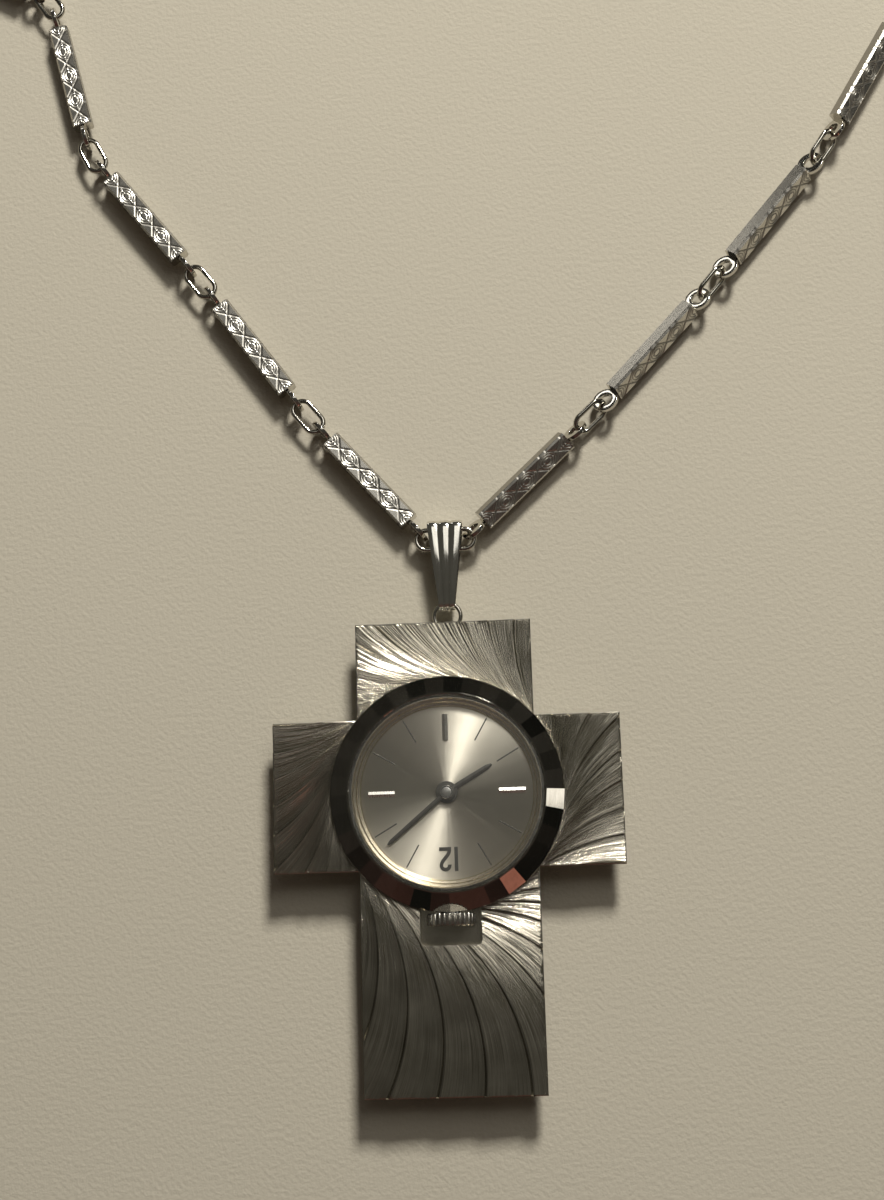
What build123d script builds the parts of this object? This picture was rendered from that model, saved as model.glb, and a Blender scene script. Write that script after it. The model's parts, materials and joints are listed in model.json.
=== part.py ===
from build123d import *
from math import atan2, cos, degrees, hypot, pi, radians, sin
import os

# Pendant watch. A thin cross-shaped plate carries a small round hand-wound watch at its
# crossing, mounted with its 12 towards the foot so that the wearer can read it. A jump
# ring and a bail hang it on the centre link of a chain of engraved bar links.
# The watch lies on its case back. The origin is the middle of the back's outer face,
# +X is to the right and +Y towards the bail as seen from the front, +Z out of the dial.

# Clearances
overrun = 1.0
running_gap = 0.03
seat_gap = 0.02
mesh_gap = 0.05
layer_gap = 0.10

# Case back, pressed into the case body
back_thickness = 0.60
back_edge_inset = 0.20
back_lip_height = 0.40
back_lip_width = 0.45

# Case body, sized round the movement
movement_radius = 9.70
movement_gap = 0.08
case_wall = 2.42
neck_inset = 0.60
case_height = 2.60
neck_height = 1.80
dial_ledge_depth = 0.50
dial_ledge_width = 0.82
stem_tube_radius = 1.10
stem_tube_reach = 0.25

# Cross plate
cross_width = 40.0
cross_top = 19.80
cross_foot = 33.50
stem_width = 20.40
arm_height = 17.20
plate_thickness = 1.20
flute_count = 40
flute_depth = 0.30
flute_radius = 24.0
flute_base_inset = 0.40
flute_turn = 2.30
flute_first_turn = 3.0
flute_steps = 8
cutout_side_gap = 0.70
cutout_foot_gap = 2.20
cutout_corner = 0.60
loop_hole_radius = 0.60
loop_wire = 0.40
loop_width = 0.60
loop_inset = 0.60
loop_drop = 0.85

# Bezel, crystal and inner ring
bezel_overhang = 1.20
bezel_height = 1.90
bezel_lip = 0.35
bezel_rim_width = 0.28
bezel_facets = 36
crystal_margin = 0.45
crystal_wall = 0.25
crystal_side = 1.40
crystal_dome = 0.90
crystal_thickness = 0.60
inner_ring_cover = 0.80
inner_ring_height = 1.10
inner_ring_top_width = 0.23
dial_seat_width = 0.20
inner_ring_foot = 0.10

# Dial and its markers
dial_thickness = 0.40
dial_hole_radius = 0.80
baton_end_gap = 0.85
baton_length = 3.0
baton_width = 0.65
baton_height = 0.25
line_end_gap = 0.20
line_length = 2.90
line_width = 0.15
line_height = 0.04
numeral_inset = 2.30
numeral_height = 2.70
numeral_width = 0.95
numeral_stroke = 0.30
numeral_gap = 0.40

# Hands and motion work
hour_hand_length = 6.0
hour_hand_width = 0.65
hour_hand_hub = 1.25
hour_hand_turn = 30.0
minute_hand_gap = 0.90
minute_hand_width = 0.52
minute_hand_hub = 0.95
minute_hand_turn = 220.0
hand_thickness = 0.12
hand_tip_share = 0.35
hour_hand_rise = 0.30
minute_hand_rise = 0.32
cap_radius = 0.70
cap_height = 0.20
motion_distance_share = 0.2216
motion_turn = 60.0
cannon_teeth = 10
minute_wheel_teeth = 30
minute_pinion_teeth = 8
hour_wheel_teeth = 32
motion_wheel_thickness = 0.12
hour_wheel_thickness = 0.15
hour_tube_radius = 0.72
hour_tube_bore = 0.49
cannon_radius = 0.45
motion_recess = 0.25
minute_stud_radius = 0.20

# Movement: main plate and bridges
main_plate_thickness = 1.10
train_height = 1.20
bridge_thickness = 0.80
bridge_back = 1.10
rim_width = 0.60
bridge_split_turn = -35.0
bridge_split_offset = 0.70
bridge_split_gap = 0.20
train_bridge_edge = 1.70
balance_window_gap = 0.25
screw_boss_radius = 0.80
screw_head_radius = 0.50
screw_head_height = 0.28
screw_shank_radius = 0.25
screw_shank_length = 1.20
screw_slot_width = 0.14
screw_slot_depth = 0.12
barrel_bridge_screw_turns = (-68.0, 38.0, -112.0)
train_bridge_screw_turns = (205.0, 228.0)
cock_thickness = 0.40
cock_head_radius = 1.10
cock_foot_radius = 1.50
cock_foot_shares = (0.134, 0.742)
pallet_bridge_thickness = 0.40
pallet_bridge_width = 1.10
pallet_foot_shares = (-0.856, 0.340)
jewel_radius = 0.45
jewel_hole = 0.09
jewel_height = 0.30
pivot_radius = 0.07
arbor_radius = 0.12
centre_arbor_radius = 0.25

# Going train, laid out in shares of the movement's radius
barrel_distance_share = 0.4794
barrel_turn = -20.0
barrel_teeth = 72
barrel_height = 1.30
barrel_wall = 0.15
barrel_back_gap = 0.40
barrel_pivot_length = 0.30
barrel_teeth_height = 0.40
barrel_teeth_depth = 0.15
barrel_arbor_radius = 0.80
barrel_pivot_radius = 0.42
mainspring_blade = 0.12
mainspring_turns = 8
mainspring_steps = 24
centre_pinion_teeth = 10
centre_wheel_teeth = 64
third_pinion_teeth = 8
third_wheel_teeth = 60
fourth_pinion_teeth = 8
fourth_wheel_teeth = 56
escape_pinion_teeth = 8
third_distance_share = 0.3608
third_turn = 165.0
fourth_distance_share = 0.2835
fourth_from_centre_share = 0.5567
escape_distance_share = 0.2680
escape_turn = 125.0
escape_wheel_share = 0.1546
escape_wheel_teeth = 15
wheel_thickness = 0.15
wheel_rim = 0.35
wheel_hub = 0.55
spoke_width = 0.35
tooth_depth = 0.12
pinion_tooth_depth = 0.10
low_wheel_rise = 0.10
third_wheel_rise = 0.95
escape_wheel_rise = 0.50
pinion_height = 0.32
low_pinion_rise = 0.07
high_pinion_rise = 0.85
escape_tooth_length = 0.40
roller_top_rise = 0.75
centre_pinion_height = 0.60

# Escapement and balance
balance_distance_share = 0.6289
balance_turn = 122.0
balance_radius_share = 0.2990
balance_rim = 0.35
balance_rise = 0.10
balance_thickness = 0.25
balance_arm_width = 0.40
roller_radius = 0.40
impulse_radius = 0.06
impulse_ring = 0.42
hairspring_rise = 0.50
hairspring_height = 0.16
hairspring_blade = 0.05
hairspring_share = 0.1856
hairspring_turns = 9
collet_radius = 0.38
pallet_distance_share = 0.1959
pallet_arm_share = 0.1289
pallet_arm_width = 0.34
pallet_spread = 70.0
fork_width = 0.26
fork_clear = 0.10
fork_horn = 0.40

# Winding and setting, also in shares of the movement's radius along the stem
crown_radius = 2.80
crown_length = 1.35
stem_collar_radius = 1.20
stem_collar_gap = 0.15
crown_gap = 0.10
crown_flutes = 30
crown_flute_radius = 0.16
crown_edge = 0.20
crown_travel = 0.80
stem_radius = 0.50
stem_square = 0.60
stem_pilot_radius = 0.25
stem_thread_radius = 0.35
stem_inner_end_share = 0.3711
stem_pilot_length = 1.50
groove_start_share = 0.8351
groove_length = 0.45
groove_radius = 0.28
sliding_pinion_start_share = 0.5464
sliding_pinion_length = 1.35
sliding_pinion_radius = 0.85
sliding_core_radius = 0.58
sliding_pinion_travel = 0.50
winding_pinion_length = 0.90
winding_pinion_radius = 1.30
winding_pinion_teeth = 15
winding_tooth_depth = 0.20
keyless_start_share = 0.4742
keyless_gap = 0.15
pinion_gap = 0.10
crown_wheel_shares = (0.0515, -0.5670)
crown_wheel_teeth = 30
ratchet_wheel_teeth = 51
winding_wheel_thickness = 0.30
crown_ring_width = 0.45
crown_ring_depth = 0.65
crown_core_radius = 0.60
click_turn = 60.0
click_offset = 0.95
click_radius = 0.45
click_length = 0.95
click_width = 0.40
click_arm_turn = 55.0
lever_thickness = 0.20
lever_width = 0.50
lever_pin_radius = 0.10
lever_pivot_radius = 0.30
lever_pivot_depth = 0.40
setting_pivot_x_share = 0.20
yoke_pivot_x_share = -0.2474

# Jump ring and bail
jump_ring_radius = 1.55
wire_radius = 0.25
hang_height = 2.25
hang_shift = 0.55
jump_ring_play = 0.15
bail_length = 8.90
bail_top_width = 4.30
bail_foot_width = 1.70
bail_strap = 0.45
bail_opening_half = 1.20
bail_corner = 0.50
bail_opening_foot = 0.60
bail_play = 0.12
bail_groove_width = 0.30
bail_groove_depth = 0.16
bail_groove_shares = (-0.34, 0.34)

# Chain
chain_height = 1.70
bar_pitch = 17.0
bar_width = 2.40
bar_thickness = 1.80
bar_bevel = 0.25
eye_radius = 1.60
eye_hole_radius = 0.80
eye_thickness = 0.50
eye_reach = 1.50
link_play = 0.15
ring_end_radius = 1.15
ring_straight = 2.20
centre_link_end_radius = 1.20
centre_link_length = 7.40
engraving_depth = 0.08
engraving_width = 0.14
engraving_count = 4
engraving_turn = 38.0
left_headings = (131.3, 129.0, 126.0, 127.5, 128.5, 117.0, 104.0, 124.0)
left_headings += (150.0, 190.0, 235.0, 254.0, 268.0, 269.0, 270.0, 270.0, 270.0, 268.0)
right_headings = (42.7, 42.5, 46.2, 49.0, 49.0, 54.5, 58.5, 47.0)
right_headings += (30.0, -10.0, -55.0, -74.0, -88.0, -89.0, -90.0, -90.0, -90.0, -88.0)
left_rolls = (0.0,) * 18
right_rolls = (30.0, 44.0, 58.0, 58.0, 58.0, 50.0, 36.0, 18.0)
right_rolls += (0.0,) * 10
jointed_links = 7

# Clasp and the ring that it closes on
clasp_ring_radius = 2.40
clasp_tube_radius = 0.60
clasp_bore_radius = 0.38
clasp_gap_turn = 50.0
clasp_gap_start = 35.0
clasp_bore_turn = 250.0
clasp_lead_turn = 6.0
clasp_bolt_turn = 148.0
clasp_bolt_lead = 1.0
clasp_bolt_gap = 0.04
clasp_eye_reach = 4.40
clasp_knob_turn = 112.0
clasp_knob_radius = 0.25
clasp_knob_length = 1.10
clasp_slot_turn = 56.0
clasp_travel_turn = 45.0
end_ring_radius = 1.80

# Radii worked out from the movement outwards
case_bore = movement_radius + movement_gap
case_radius = case_bore + case_wall
neck_radius = case_radius - neck_inset
bezel_radius = case_radius + bezel_overhang
dial_radius = case_bore + dial_ledge_width
crystal_radius = dial_radius + crystal_margin
inner_ring_opening = dial_radius - inner_ring_cover
baton_start = inner_ring_opening - baton_end_gap - baton_length
line_start = inner_ring_opening - line_end_gap - line_length
numeral_middle = inner_ring_opening - numeral_inset
minute_hand_length = inner_ring_opening - minute_hand_gap
bridge_radius = movement_radius - layer_gap
screw_ring_radius = movement_radius - screw_boss_radius

# Places in the movement
motion_distance = movement_radius * motion_distance_share
barrel_distance = movement_radius * barrel_distance_share
third_distance = movement_radius * third_distance_share
fourth_distance = movement_radius * fourth_distance_share
fourth_from_centre = movement_radius * fourth_from_centre_share
escape_distance = movement_radius * escape_distance_share
escape_wheel_radius = movement_radius * escape_wheel_share
balance_distance = movement_radius * balance_distance_share
balance_radius = movement_radius * balance_radius_share
hairspring_outer = movement_radius * hairspring_share
pallet_distance = movement_radius * pallet_distance_share
pallet_arm_length = movement_radius * pallet_arm_share
stem_inner_end = movement_radius * stem_inner_end_share
keyless_start = movement_radius * keyless_start_share
sliding_pinion_start = movement_radius * sliding_pinion_start_share
groove_start = movement_radius * groove_start_share
setting_pivot_x = movement_radius * setting_pivot_x_share
yoke_pivot_x = movement_radius * yoke_pivot_x_share
crown_wheel_point = tuple(movement_radius * share for share in crown_wheel_shares)
cock_foot = tuple(movement_radius * share for share in cock_foot_shares)
pallet_foot = tuple(movement_radius * share for share in pallet_foot_shares)

# Levels worked out from the values above
case_shoulder = back_thickness + case_height
neck_top = case_shoulder + neck_height
plate_back = case_shoulder
plate_front = plate_back + plate_thickness
dial_back = neck_top - dial_ledge_depth
dial_front = dial_back + dial_thickness
bridge_front = bridge_back + bridge_thickness
main_plate_back = bridge_front + train_height
main_plate_front = main_plate_back + main_plate_thickness
stem_height = main_plate_back
stem_tube_end = case_radius + stem_tube_reach
stem_collar_start = stem_tube_end + stem_collar_gap
crown_start = bezel_radius + crown_gap
crown_end = crown_start + crown_length
crown_bore_end = crown_end - crown_flute_radius - crown_edge
cutout_reach = crown_end + cutout_foot_gap
cutout_width = 2 * (crown_radius + cutout_side_gap)
flute_base_radius = bezel_radius - flute_base_inset
cock_front = bridge_back + cock_thickness
pallet_bridge_back = bridge_front - pallet_bridge_thickness
hour_wheel_low = main_plate_front + mesh_gap
hour_hand_low = dial_front + hour_hand_rise
minute_hand_low = hour_hand_low + minute_hand_rise
winding_pinion_start = sliding_pinion_start + sliding_pinion_length + pinion_gap
winding_pinion_end = winding_pinion_start + winding_pinion_length
keyless_end = winding_pinion_end + keyless_gap
winding_top = bridge_back - mesh_gap
winding_low = winding_top - winding_wheel_thickness
crown_ring_top = winding_top + crown_ring_depth
click_stud_top = winding_top + screw_head_height
barrel_low = bridge_front + barrel_back_gap
barrel_top = barrel_low + barrel_height
barrel_pivot_top = barrel_top + barrel_pivot_length
lever_pin_reach = groove_start + groove_length / 2
setting_pivot = (setting_pivot_x, -lever_pin_reach - crown_travel / 2)
yoke_pin_reach = sliding_pinion_start + sliding_pinion_length / 2
yoke_pivot = (yoke_pivot_x, -yoke_pin_reach + sliding_pinion_travel / 2)
eye_play = eye_hole_radius - wire_radius - link_play
centre_link_straight = centre_link_length - 2 * centre_link_end_radius - 2 * wire_radius
loop_y = cross_top - loop_inset
loop_z = plate_back - loop_drop
jump_ring_x = hang_shift
jump_ring_y = loop_y + ((jump_ring_radius + jump_ring_play) ** 2 - hang_shift**2) ** 0.5
bail_foot_y = jump_ring_y + jump_ring_radius
bail_top_y = bail_foot_y + bail_length + bail_corner + bail_strap
bail_low_y = bail_foot_y - bail_opening_foot - bail_strap
centre_link_y = bail_foot_y + bail_length + bail_corner - bail_play
centre_link_y -= wire_radius + centre_link_end_radius

ON_BASE = (Align.CENTER, Align.CENTER, Align.MIN)


def around(distance, turn):
    """The point at a distance and a direction in degrees."""
    return distance * cos(radians(turn)), distance * sin(radians(turn))


def pair_radii(distance, first_teeth, second_teeth):
    """Tip radii of two wheels that run together, with the gap between their tips."""
    whole = distance - mesh_gap
    first = whole * first_teeth / (first_teeth + second_teeth)
    return first, whole - first


# Places of the wheels
centre_point = (0.0, 0.0)
barrel_point = around(barrel_distance, barrel_turn)
third_point = around(third_distance, third_turn)
cosine_to_fourth = third_distance**2 + fourth_from_centre**2 - fourth_distance**2
cosine_to_fourth /= 2 * third_distance * fourth_from_centre
fourth_turn = third_turn + degrees(atan2((1 - cosine_to_fourth**2) ** 0.5, cosine_to_fourth))
fourth_point = around(fourth_from_centre, fourth_turn)
escape_step = around(escape_distance, escape_turn)
escape_point = (fourth_point[0] + escape_step[0], fourth_point[1] + escape_step[1])
balance_point = around(balance_distance, balance_turn)
lever_line = (balance_point[0] - escape_point[0], balance_point[1] - escape_point[1])
lever_turn = degrees(atan2(lever_line[1], lever_line[0]))
lever_span = hypot(*lever_line)
pallet_step = around(pallet_distance, lever_turn)
pallet_point = (escape_point[0] + pallet_step[0], escape_point[1] + pallet_step[1])
minute_wheel_point = around(motion_distance, motion_turn)
ratchet_distance = hypot(barrel_point[0] - crown_wheel_point[0], barrel_point[1] - crown_wheel_point[1])

# Tip radii of the wheels
barrel_radius, centre_pinion_radius = pair_radii(barrel_distance, barrel_teeth, centre_pinion_teeth)
centre_wheel_radius, third_pinion_radius = pair_radii(
    third_distance, centre_wheel_teeth, third_pinion_teeth
)
third_wheel_radius, fourth_pinion_radius = pair_radii(
    fourth_distance, third_wheel_teeth, fourth_pinion_teeth
)
fourth_wheel_radius, escape_pinion_radius = pair_radii(
    escape_distance, fourth_wheel_teeth, escape_pinion_teeth
)
crown_wheel_radius, ratchet_radius = pair_radii(ratchet_distance, crown_wheel_teeth, ratchet_wheel_teeth)
crown_ring_inside = crown_wheel_radius - tooth_depth - crown_ring_width
cannon_leaf_radius, minute_wheel_radius = pair_radii(motion_distance, cannon_teeth, minute_wheel_teeth)
minute_pinion_radius, hour_wheel_radius = pair_radii(motion_distance, minute_pinion_teeth, hour_wheel_teeth)
click_step = around(ratchet_radius + click_offset, click_turn)
click_point = (barrel_point[0] + click_step[0], barrel_point[1] + click_step[1])

# Turn at which the flute lines have passed the furthest corner of the cross
flute_line_radius = flute_base_radius + flute_radius
flute_reach = hypot(stem_width / 2, cross_foot) + overrun
flute_last_cosine = flute_line_radius**2 + flute_radius**2 - flute_reach**2
flute_last_cosine /= 2 * flute_line_radius * flute_radius
flute_last_turn = degrees(atan2((1 - flute_last_cosine**2) ** 0.5, flute_last_cosine))


def disc(radius, low, high, point=centre_point):
    """Upright cylinder between two heights."""
    return Pos(point[0], point[1], low) * Cylinder(radius, high - low, align=ON_BASE)


def ring(outer, inner, low, high, point=centre_point):
    """Disc with a round hole."""
    return disc(outer, low, high, point) - disc(inner, low - overrun, high + overrun, point)


def block(x_low, x_high, y_low, y_high, low, high):
    """Box between two corners."""
    box = Box(x_high - x_low, y_high - y_low, high - low, align=(Align.MIN, Align.MIN, Align.MIN))
    return Pos(x_low, y_low, low) * box


def prism(points, low, high):
    """Upright prism on an outline."""
    face = make_face(Polyline(*points, close=True))
    return Pos(0, 0, low) * extrude(face, amount=high - low)


def bar_between(start, end, width, low, high):
    """Flat bar with round ends from one point to another."""
    length = hypot(end[0] - start[0], end[1] - start[1])
    turn = degrees(atan2(end[1] - start[1], end[0] - start[0]))
    box = Box(length, width, high - low, align=(Align.MIN, Align.CENTER, Align.MIN))
    shape = Pos(start[0], start[1], low) * Rot(0, 0, turn) * box
    return shape + disc(width / 2, low, high, start) + disc(width / 2, low, high, end)


def toothed(tip, depth, count, low, high, point=centre_point):
    """Disc with pointed-off teeth up to its tip radius."""
    tooth_shares = ((0.0, 0.0), (0.25, 0.0), (0.42, 1.0), (0.58, 1.0), (0.75, 0.0))
    points = []
    for index in range(count):
        for turn_share, height_share in tooth_shares[1:]:
            turn = 360 / count * (index + turn_share)
            x, y = around(tip - depth + depth * height_share, turn)
            points.append((point[0] + x, point[1] + y))
    return prism(points, low, high)


def crossed_wheel(tip, teeth, spokes, low, high, point):
    """Train wheel: toothed rim, hub and spokes."""
    rim_inside = tip - tooth_depth - wheel_rim
    wheel = toothed(tip, tooth_depth, teeth, low, high, point)
    wheel -= disc(rim_inside, low - overrun, high + overrun, point)
    wheel += disc(wheel_hub, low, high, point)
    for index in range(spokes):
        end = around(rim_inside + wheel_rim / 2, 360 / spokes * index)
        wheel += bar_between(point, (point[0] + end[0], point[1] + end[1]), spoke_width, low, high)
    return wheel


def arbor(point, low, high, radius=arbor_radius):
    """Arbor between the bridge and the plate, with a pivot at each end."""
    pivot = jewel_height
    shape = disc(radius, low + mesh_gap, high - mesh_gap, point)
    return shape + disc(pivot_radius, low - pivot, high + pivot, point)


def along_stem(radius, start, end):
    """Cylinder on the stem's axis, from one distance out to another."""
    rod = Cylinder(radius, end - start, align=ON_BASE)
    return Pos(0, -start, stem_height) * Rot(90, 0, 0) * rod


def turned(profile):
    """Solid of revolution about the dial's axis from an outline in radius and height."""
    return revolve(Plane.XZ * make_face(profile), axis=Axis.Z)


# Case and cross


def make_case_back():
    """Pressed-in back: a disc with a thinned edge and a lip that grips the case bore."""
    lip_radius = case_bore - seat_gap
    edge = case_radius - back_edge_inset
    back = turned(
        Polyline(
            (0, 0),
            (edge - back_edge_inset, 0),
            (edge, back_edge_inset),
            (edge, back_thickness),
            (0, back_thickness),
            close=True,
        )
    )
    lip = ring(lip_radius, lip_radius - back_lip_width, back_thickness, back_thickness + back_lip_height)
    return back + lip


def make_case_body():
    """Middle case: it holds the movement, carries the cross plate and the bezel's neck."""
    body = disc(case_radius, back_thickness, case_shoulder)
    body += disc(neck_radius, case_shoulder, neck_top)
    body -= disc(case_bore, back_thickness - overrun, neck_top + overrun)
    body -= disc(dial_radius + movement_gap, dial_back, neck_top + overrun)
    tube = along_stem(stem_tube_radius, case_bore, stem_tube_end)
    body += tube - disc(case_bore, back_thickness, neck_top)
    return body - along_stem(stem_radius + running_gap, case_bore - overrun, stem_tube_end + overrun)


def cross_outline(low, high):
    """The bare cross between two heights."""
    half_stem = stem_width / 2
    half_arm = arm_height / 2
    upright = block(-half_stem, half_stem, -cross_foot, cross_top, low, high)
    return upright + block(-cross_width / 2, cross_width / 2, -half_arm, half_arm, low, high)


def flute_point(index, turn):
    """Point of a flute's curved line, which leaves the bezel's circle along it and sweeps round."""
    start = flute_turn + 360 / flute_count * index
    centre = around(flute_line_radius, start)
    arm = around(flute_radius, start - turn)
    return centre[0] - arm[0], centre[1] - arm[1]


def flute_cutter(index):
    """Wedge that slopes the plate down from one flute line to the next."""
    sections = []
    for step in range(flute_steps + 1):
        turn = flute_first_turn + (flute_last_turn - flute_first_turn) * step / flute_steps
        here = flute_point(index, turn)
        there = flute_point(index + 1, turn)
        top = plate_front + overrun
        corners = [
            (here[0], here[1], plate_front),
            (there[0], there[1], plate_front - flute_depth),
            (there[0], there[1], top),
            (here[0], here[1], top),
        ]
        sections.append(make_face(Polyline(*corners, close=True)))
    return loft(sections, ruled=True)


def make_cross_plate():
    """Thin cross with a swirl of sloping flutes, the crown's window and the loop at its back."""
    plate = cross_outline(plate_back, plate_front)
    plate -= disc(neck_radius + seat_gap, plate_back - overrun, plate_front + overrun)
    for index in range(flute_count):
        plate -= flute_cutter(index)
    window = block(
        -cutout_width / 2, cutout_width / 2, -cutout_reach, 0, plate_back - overrun, plate_front + overrun
    )
    foot_edges = window.edges().filter_by(Axis.Z).group_by(Axis.Y)[0]
    plate -= fillet(foot_edges, cutout_corner)
    place = Pos(0, loop_y, loop_z) * Rot(0, 90, 0)
    loop = place * Cylinder(loop_hole_radius + loop_wire, loop_width)
    loop -= place * Cylinder(loop_hole_radius, loop_width + overrun)
    loop &= block(-loop_width, loop_width, -cross_foot, bail_top_y, -overrun, plate_back)
    return plate + loop


def polygon(radius, count, turn=0.0):
    """Corners of a regular polygon."""
    return [around(radius, turn + 360 / count * index) for index in range(count)]


def make_bezel():
    """Turned bezel with flat facets, pressed over the neck down onto the cross plate."""
    top = plate_front + bezel_height
    waist = plate_front + bezel_lip
    rim_radius = crystal_radius + seat_gap + bezel_rim_width
    foot_face = Pos(0, 0, waist) * make_face(Polyline(*polygon(bezel_radius, bezel_facets), close=True))
    rim_face = Pos(0, 0, top) * make_face(Polyline(*polygon(rim_radius, bezel_facets), close=True))
    bezel = loft([foot_face, rim_face], ruled=True) + disc(bezel_radius, plate_front, waist)
    bezel -= disc(neck_radius + seat_gap, plate_front - overrun, neck_top)
    return bezel - disc(crystal_radius + seat_gap, plate_front - overrun, top + overrun)


def dome(radius, low, side_top, rise):
    """Upright cylinder closed by a spherical cap."""
    top = side_top + rise
    sphere_radius = (radius**2 + rise**2) / (2 * rise)
    return disc(radius, low, top) & Pos(0, 0, top - sphere_radius) * Sphere(sphere_radius)


def make_crystal():
    """Domed crystal with a straight skirt that stands on the neck inside the bezel."""
    side_top = neck_top + crystal_side
    inside_top = side_top - crystal_thickness / 2
    inside_rise = crystal_dome - crystal_thickness / 2
    shell = dome(crystal_radius, neck_top, side_top, crystal_dome)
    return shell - dome(crystal_radius - crystal_wall, neck_top - overrun, inside_top, inside_rise)


def make_inner_ring():
    """Sloping ring between the dial and the crystal, which holds the dial down."""
    outside = crystal_radius - crystal_wall - seat_gap
    top = dial_front + inner_ring_height
    return turned(
        Polyline(
            (inner_ring_opening, dial_front),
            (dial_radius, dial_front),
            (dial_radius, neck_top),
            (outside, neck_top),
            (outside, top),
            (outside - inner_ring_top_width, top),
            (inner_ring_opening, dial_front + inner_ring_foot),
            close=True,
        )
    )


# Dial and hands


def make_dial():
    """Flat dial with a hole for the hour wheel's tube."""
    return ring(dial_radius, dial_hole_radius, dial_back, dial_front)


def make_dial_markers():
    """Batons at three, six and nine, lines at the other hours and a plain 12 at the foot."""
    markers = []
    for hour in range(12):
        turn = 30 * hour - 90
        if hour == 0:
            continue
        if hour % 3 == 0:
            start, length, width, height = baton_start, baton_length, baton_width, baton_height
        else:
            start, length, width, height = line_start, line_length, line_width, line_height
        mark = block(start, start + length, -width / 2, width / 2, dial_front, dial_front + height)
        markers.append(Rot(0, 0, turn) * mark)
    low = dial_front
    high = dial_front + line_height
    half = numeral_height / 2 - numeral_stroke / 2
    one_x = -(numeral_width + numeral_stroke) / 2 - numeral_gap / 2
    one = bar_between((one_x, -half), (one_x, half), numeral_stroke, low, high)
    left = one_x + numeral_stroke + numeral_gap
    right = left + numeral_width
    round_off = numeral_width / 4
    knee = half - numeral_width
    strokes = [
        (left, half - round_off),
        (left + round_off, half),
        (right - round_off, half),
        (right, half - round_off),
        (right, knee),
        (left, -half + round_off),
        (left, -half),
        (right, -half),
    ]
    two = bar_between(strokes[0], strokes[1], numeral_stroke, low, high)
    for start, end in zip(strokes[1:], strokes[2:]):
        two += bar_between(start, end, numeral_stroke, low, high)
    place = Pos(0, -numeral_middle, 0) * Rot(0, 0, 180)
    markers.append(place * one)
    markers.append(place * two)
    return Compound(children=markers)


def hand(length, width, hub, bore, low, turn):
    """Slim hand with a round hub, pointing along a direction."""
    tip = width * hand_tip_share
    high = low + hand_thickness
    points = [
        (0, -width / 2),
        (length - width, -width / 2),
        (length, -tip / 2),
        (length, tip / 2),
        (length - width, width / 2),
        (0, width / 2),
    ]
    shape = Rot(0, 0, turn) * prism(points, low, high) + disc(hub, low, high)
    return shape - disc(bore, low - overrun, high + overrun)


def make_hour_hand():
    """Hour hand, pressed on the hour wheel's tube."""
    return hand(
        hour_hand_length, hour_hand_width, hour_hand_hub, hour_tube_radius, hour_hand_low, hour_hand_turn
    )


def make_minute_hand():
    """Minute hand, pressed on the cannon pinion."""
    return hand(
        minute_hand_length,
        minute_hand_width,
        minute_hand_hub,
        cannon_radius,
        minute_hand_low,
        minute_hand_turn,
    )


def make_cannon_pinion():
    """Tube that turns on the centre arbor, with leaves below and a round cap on top."""
    leaves_low = main_plate_front - motion_recess + seat_gap
    leaves_high = leaves_low + motion_wheel_thickness + mesh_gap
    cap_low = minute_hand_low + hand_thickness
    pinion = toothed(cannon_leaf_radius, pinion_tooth_depth, cannon_teeth, leaves_low, leaves_high)
    pinion += disc(cannon_radius, leaves_low, cap_low)
    pinion += disc(cap_radius, cap_low, cap_low + cap_height)
    return pinion - disc(centre_arbor_radius + running_gap, leaves_low - overrun, cap_low)


def make_hour_wheel():
    """Hour wheel with the tube that carries the hour hand."""
    high = hour_wheel_low + hour_wheel_thickness
    wheel = toothed(hour_wheel_radius, tooth_depth, hour_wheel_teeth, hour_wheel_low, high)
    wheel += disc(hour_tube_radius, hour_wheel_low, hour_hand_low + hand_thickness)
    return wheel - disc(hour_tube_bore, hour_wheel_low - overrun, minute_hand_low)


def make_minute_wheel():
    """Minute wheel and its pinion, between the cannon pinion and the hour wheel."""
    low = main_plate_front - motion_recess + mesh_gap
    high = low + motion_wheel_thickness
    top = hour_wheel_low + hour_wheel_thickness
    point = minute_wheel_point
    wheel = toothed(minute_wheel_radius, tooth_depth, minute_wheel_teeth, low, high, point)
    wheel += toothed(minute_pinion_radius, pinion_tooth_depth, minute_pinion_teeth, high, top, point)
    return wheel - disc(minute_stud_radius + running_gap, low - overrun, top + overrun, point)


# Plate, bridges and their screws


def screw_places():
    """Point and head level of every bridge screw."""
    places = []
    for turn in barrel_bridge_screw_turns + train_bridge_screw_turns:
        places.append((around(screw_ring_radius, turn), bridge_back))
    places.append((pallet_foot, pallet_bridge_back))
    places.append((cock_foot, bridge_back))
    return places


def screw_holes(shape):
    """The shape with the screws' shank holes and head sinks."""
    for point, level in screw_places():
        sink = level + screw_head_height + seat_gap
        shank_end = level + screw_head_height + screw_shank_length
        shape -= disc(screw_shank_radius + seat_gap, level, shank_end, point)
        shape -= disc(screw_head_radius + running_gap, level - overrun, sink, point)
    return shape


def make_bridge_screws():
    """Slotted screws that hold the bridges and the cock."""
    screws = []
    for point, level in screw_places():
        head_top = level + screw_head_height
        screw = disc(screw_head_radius, level, head_top, point)
        screw += disc(screw_shank_radius, head_top, head_top + screw_shank_length - seat_gap, point)
        slot = block(
            point[0] - screw_head_radius - overrun,
            point[0] + screw_head_radius + overrun,
            point[1] - screw_slot_width / 2,
            point[1] + screw_slot_width / 2,
            level - overrun,
            level + screw_slot_depth,
        )
        screws.append(screw - slot)
    return Compound(children=screws)


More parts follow.
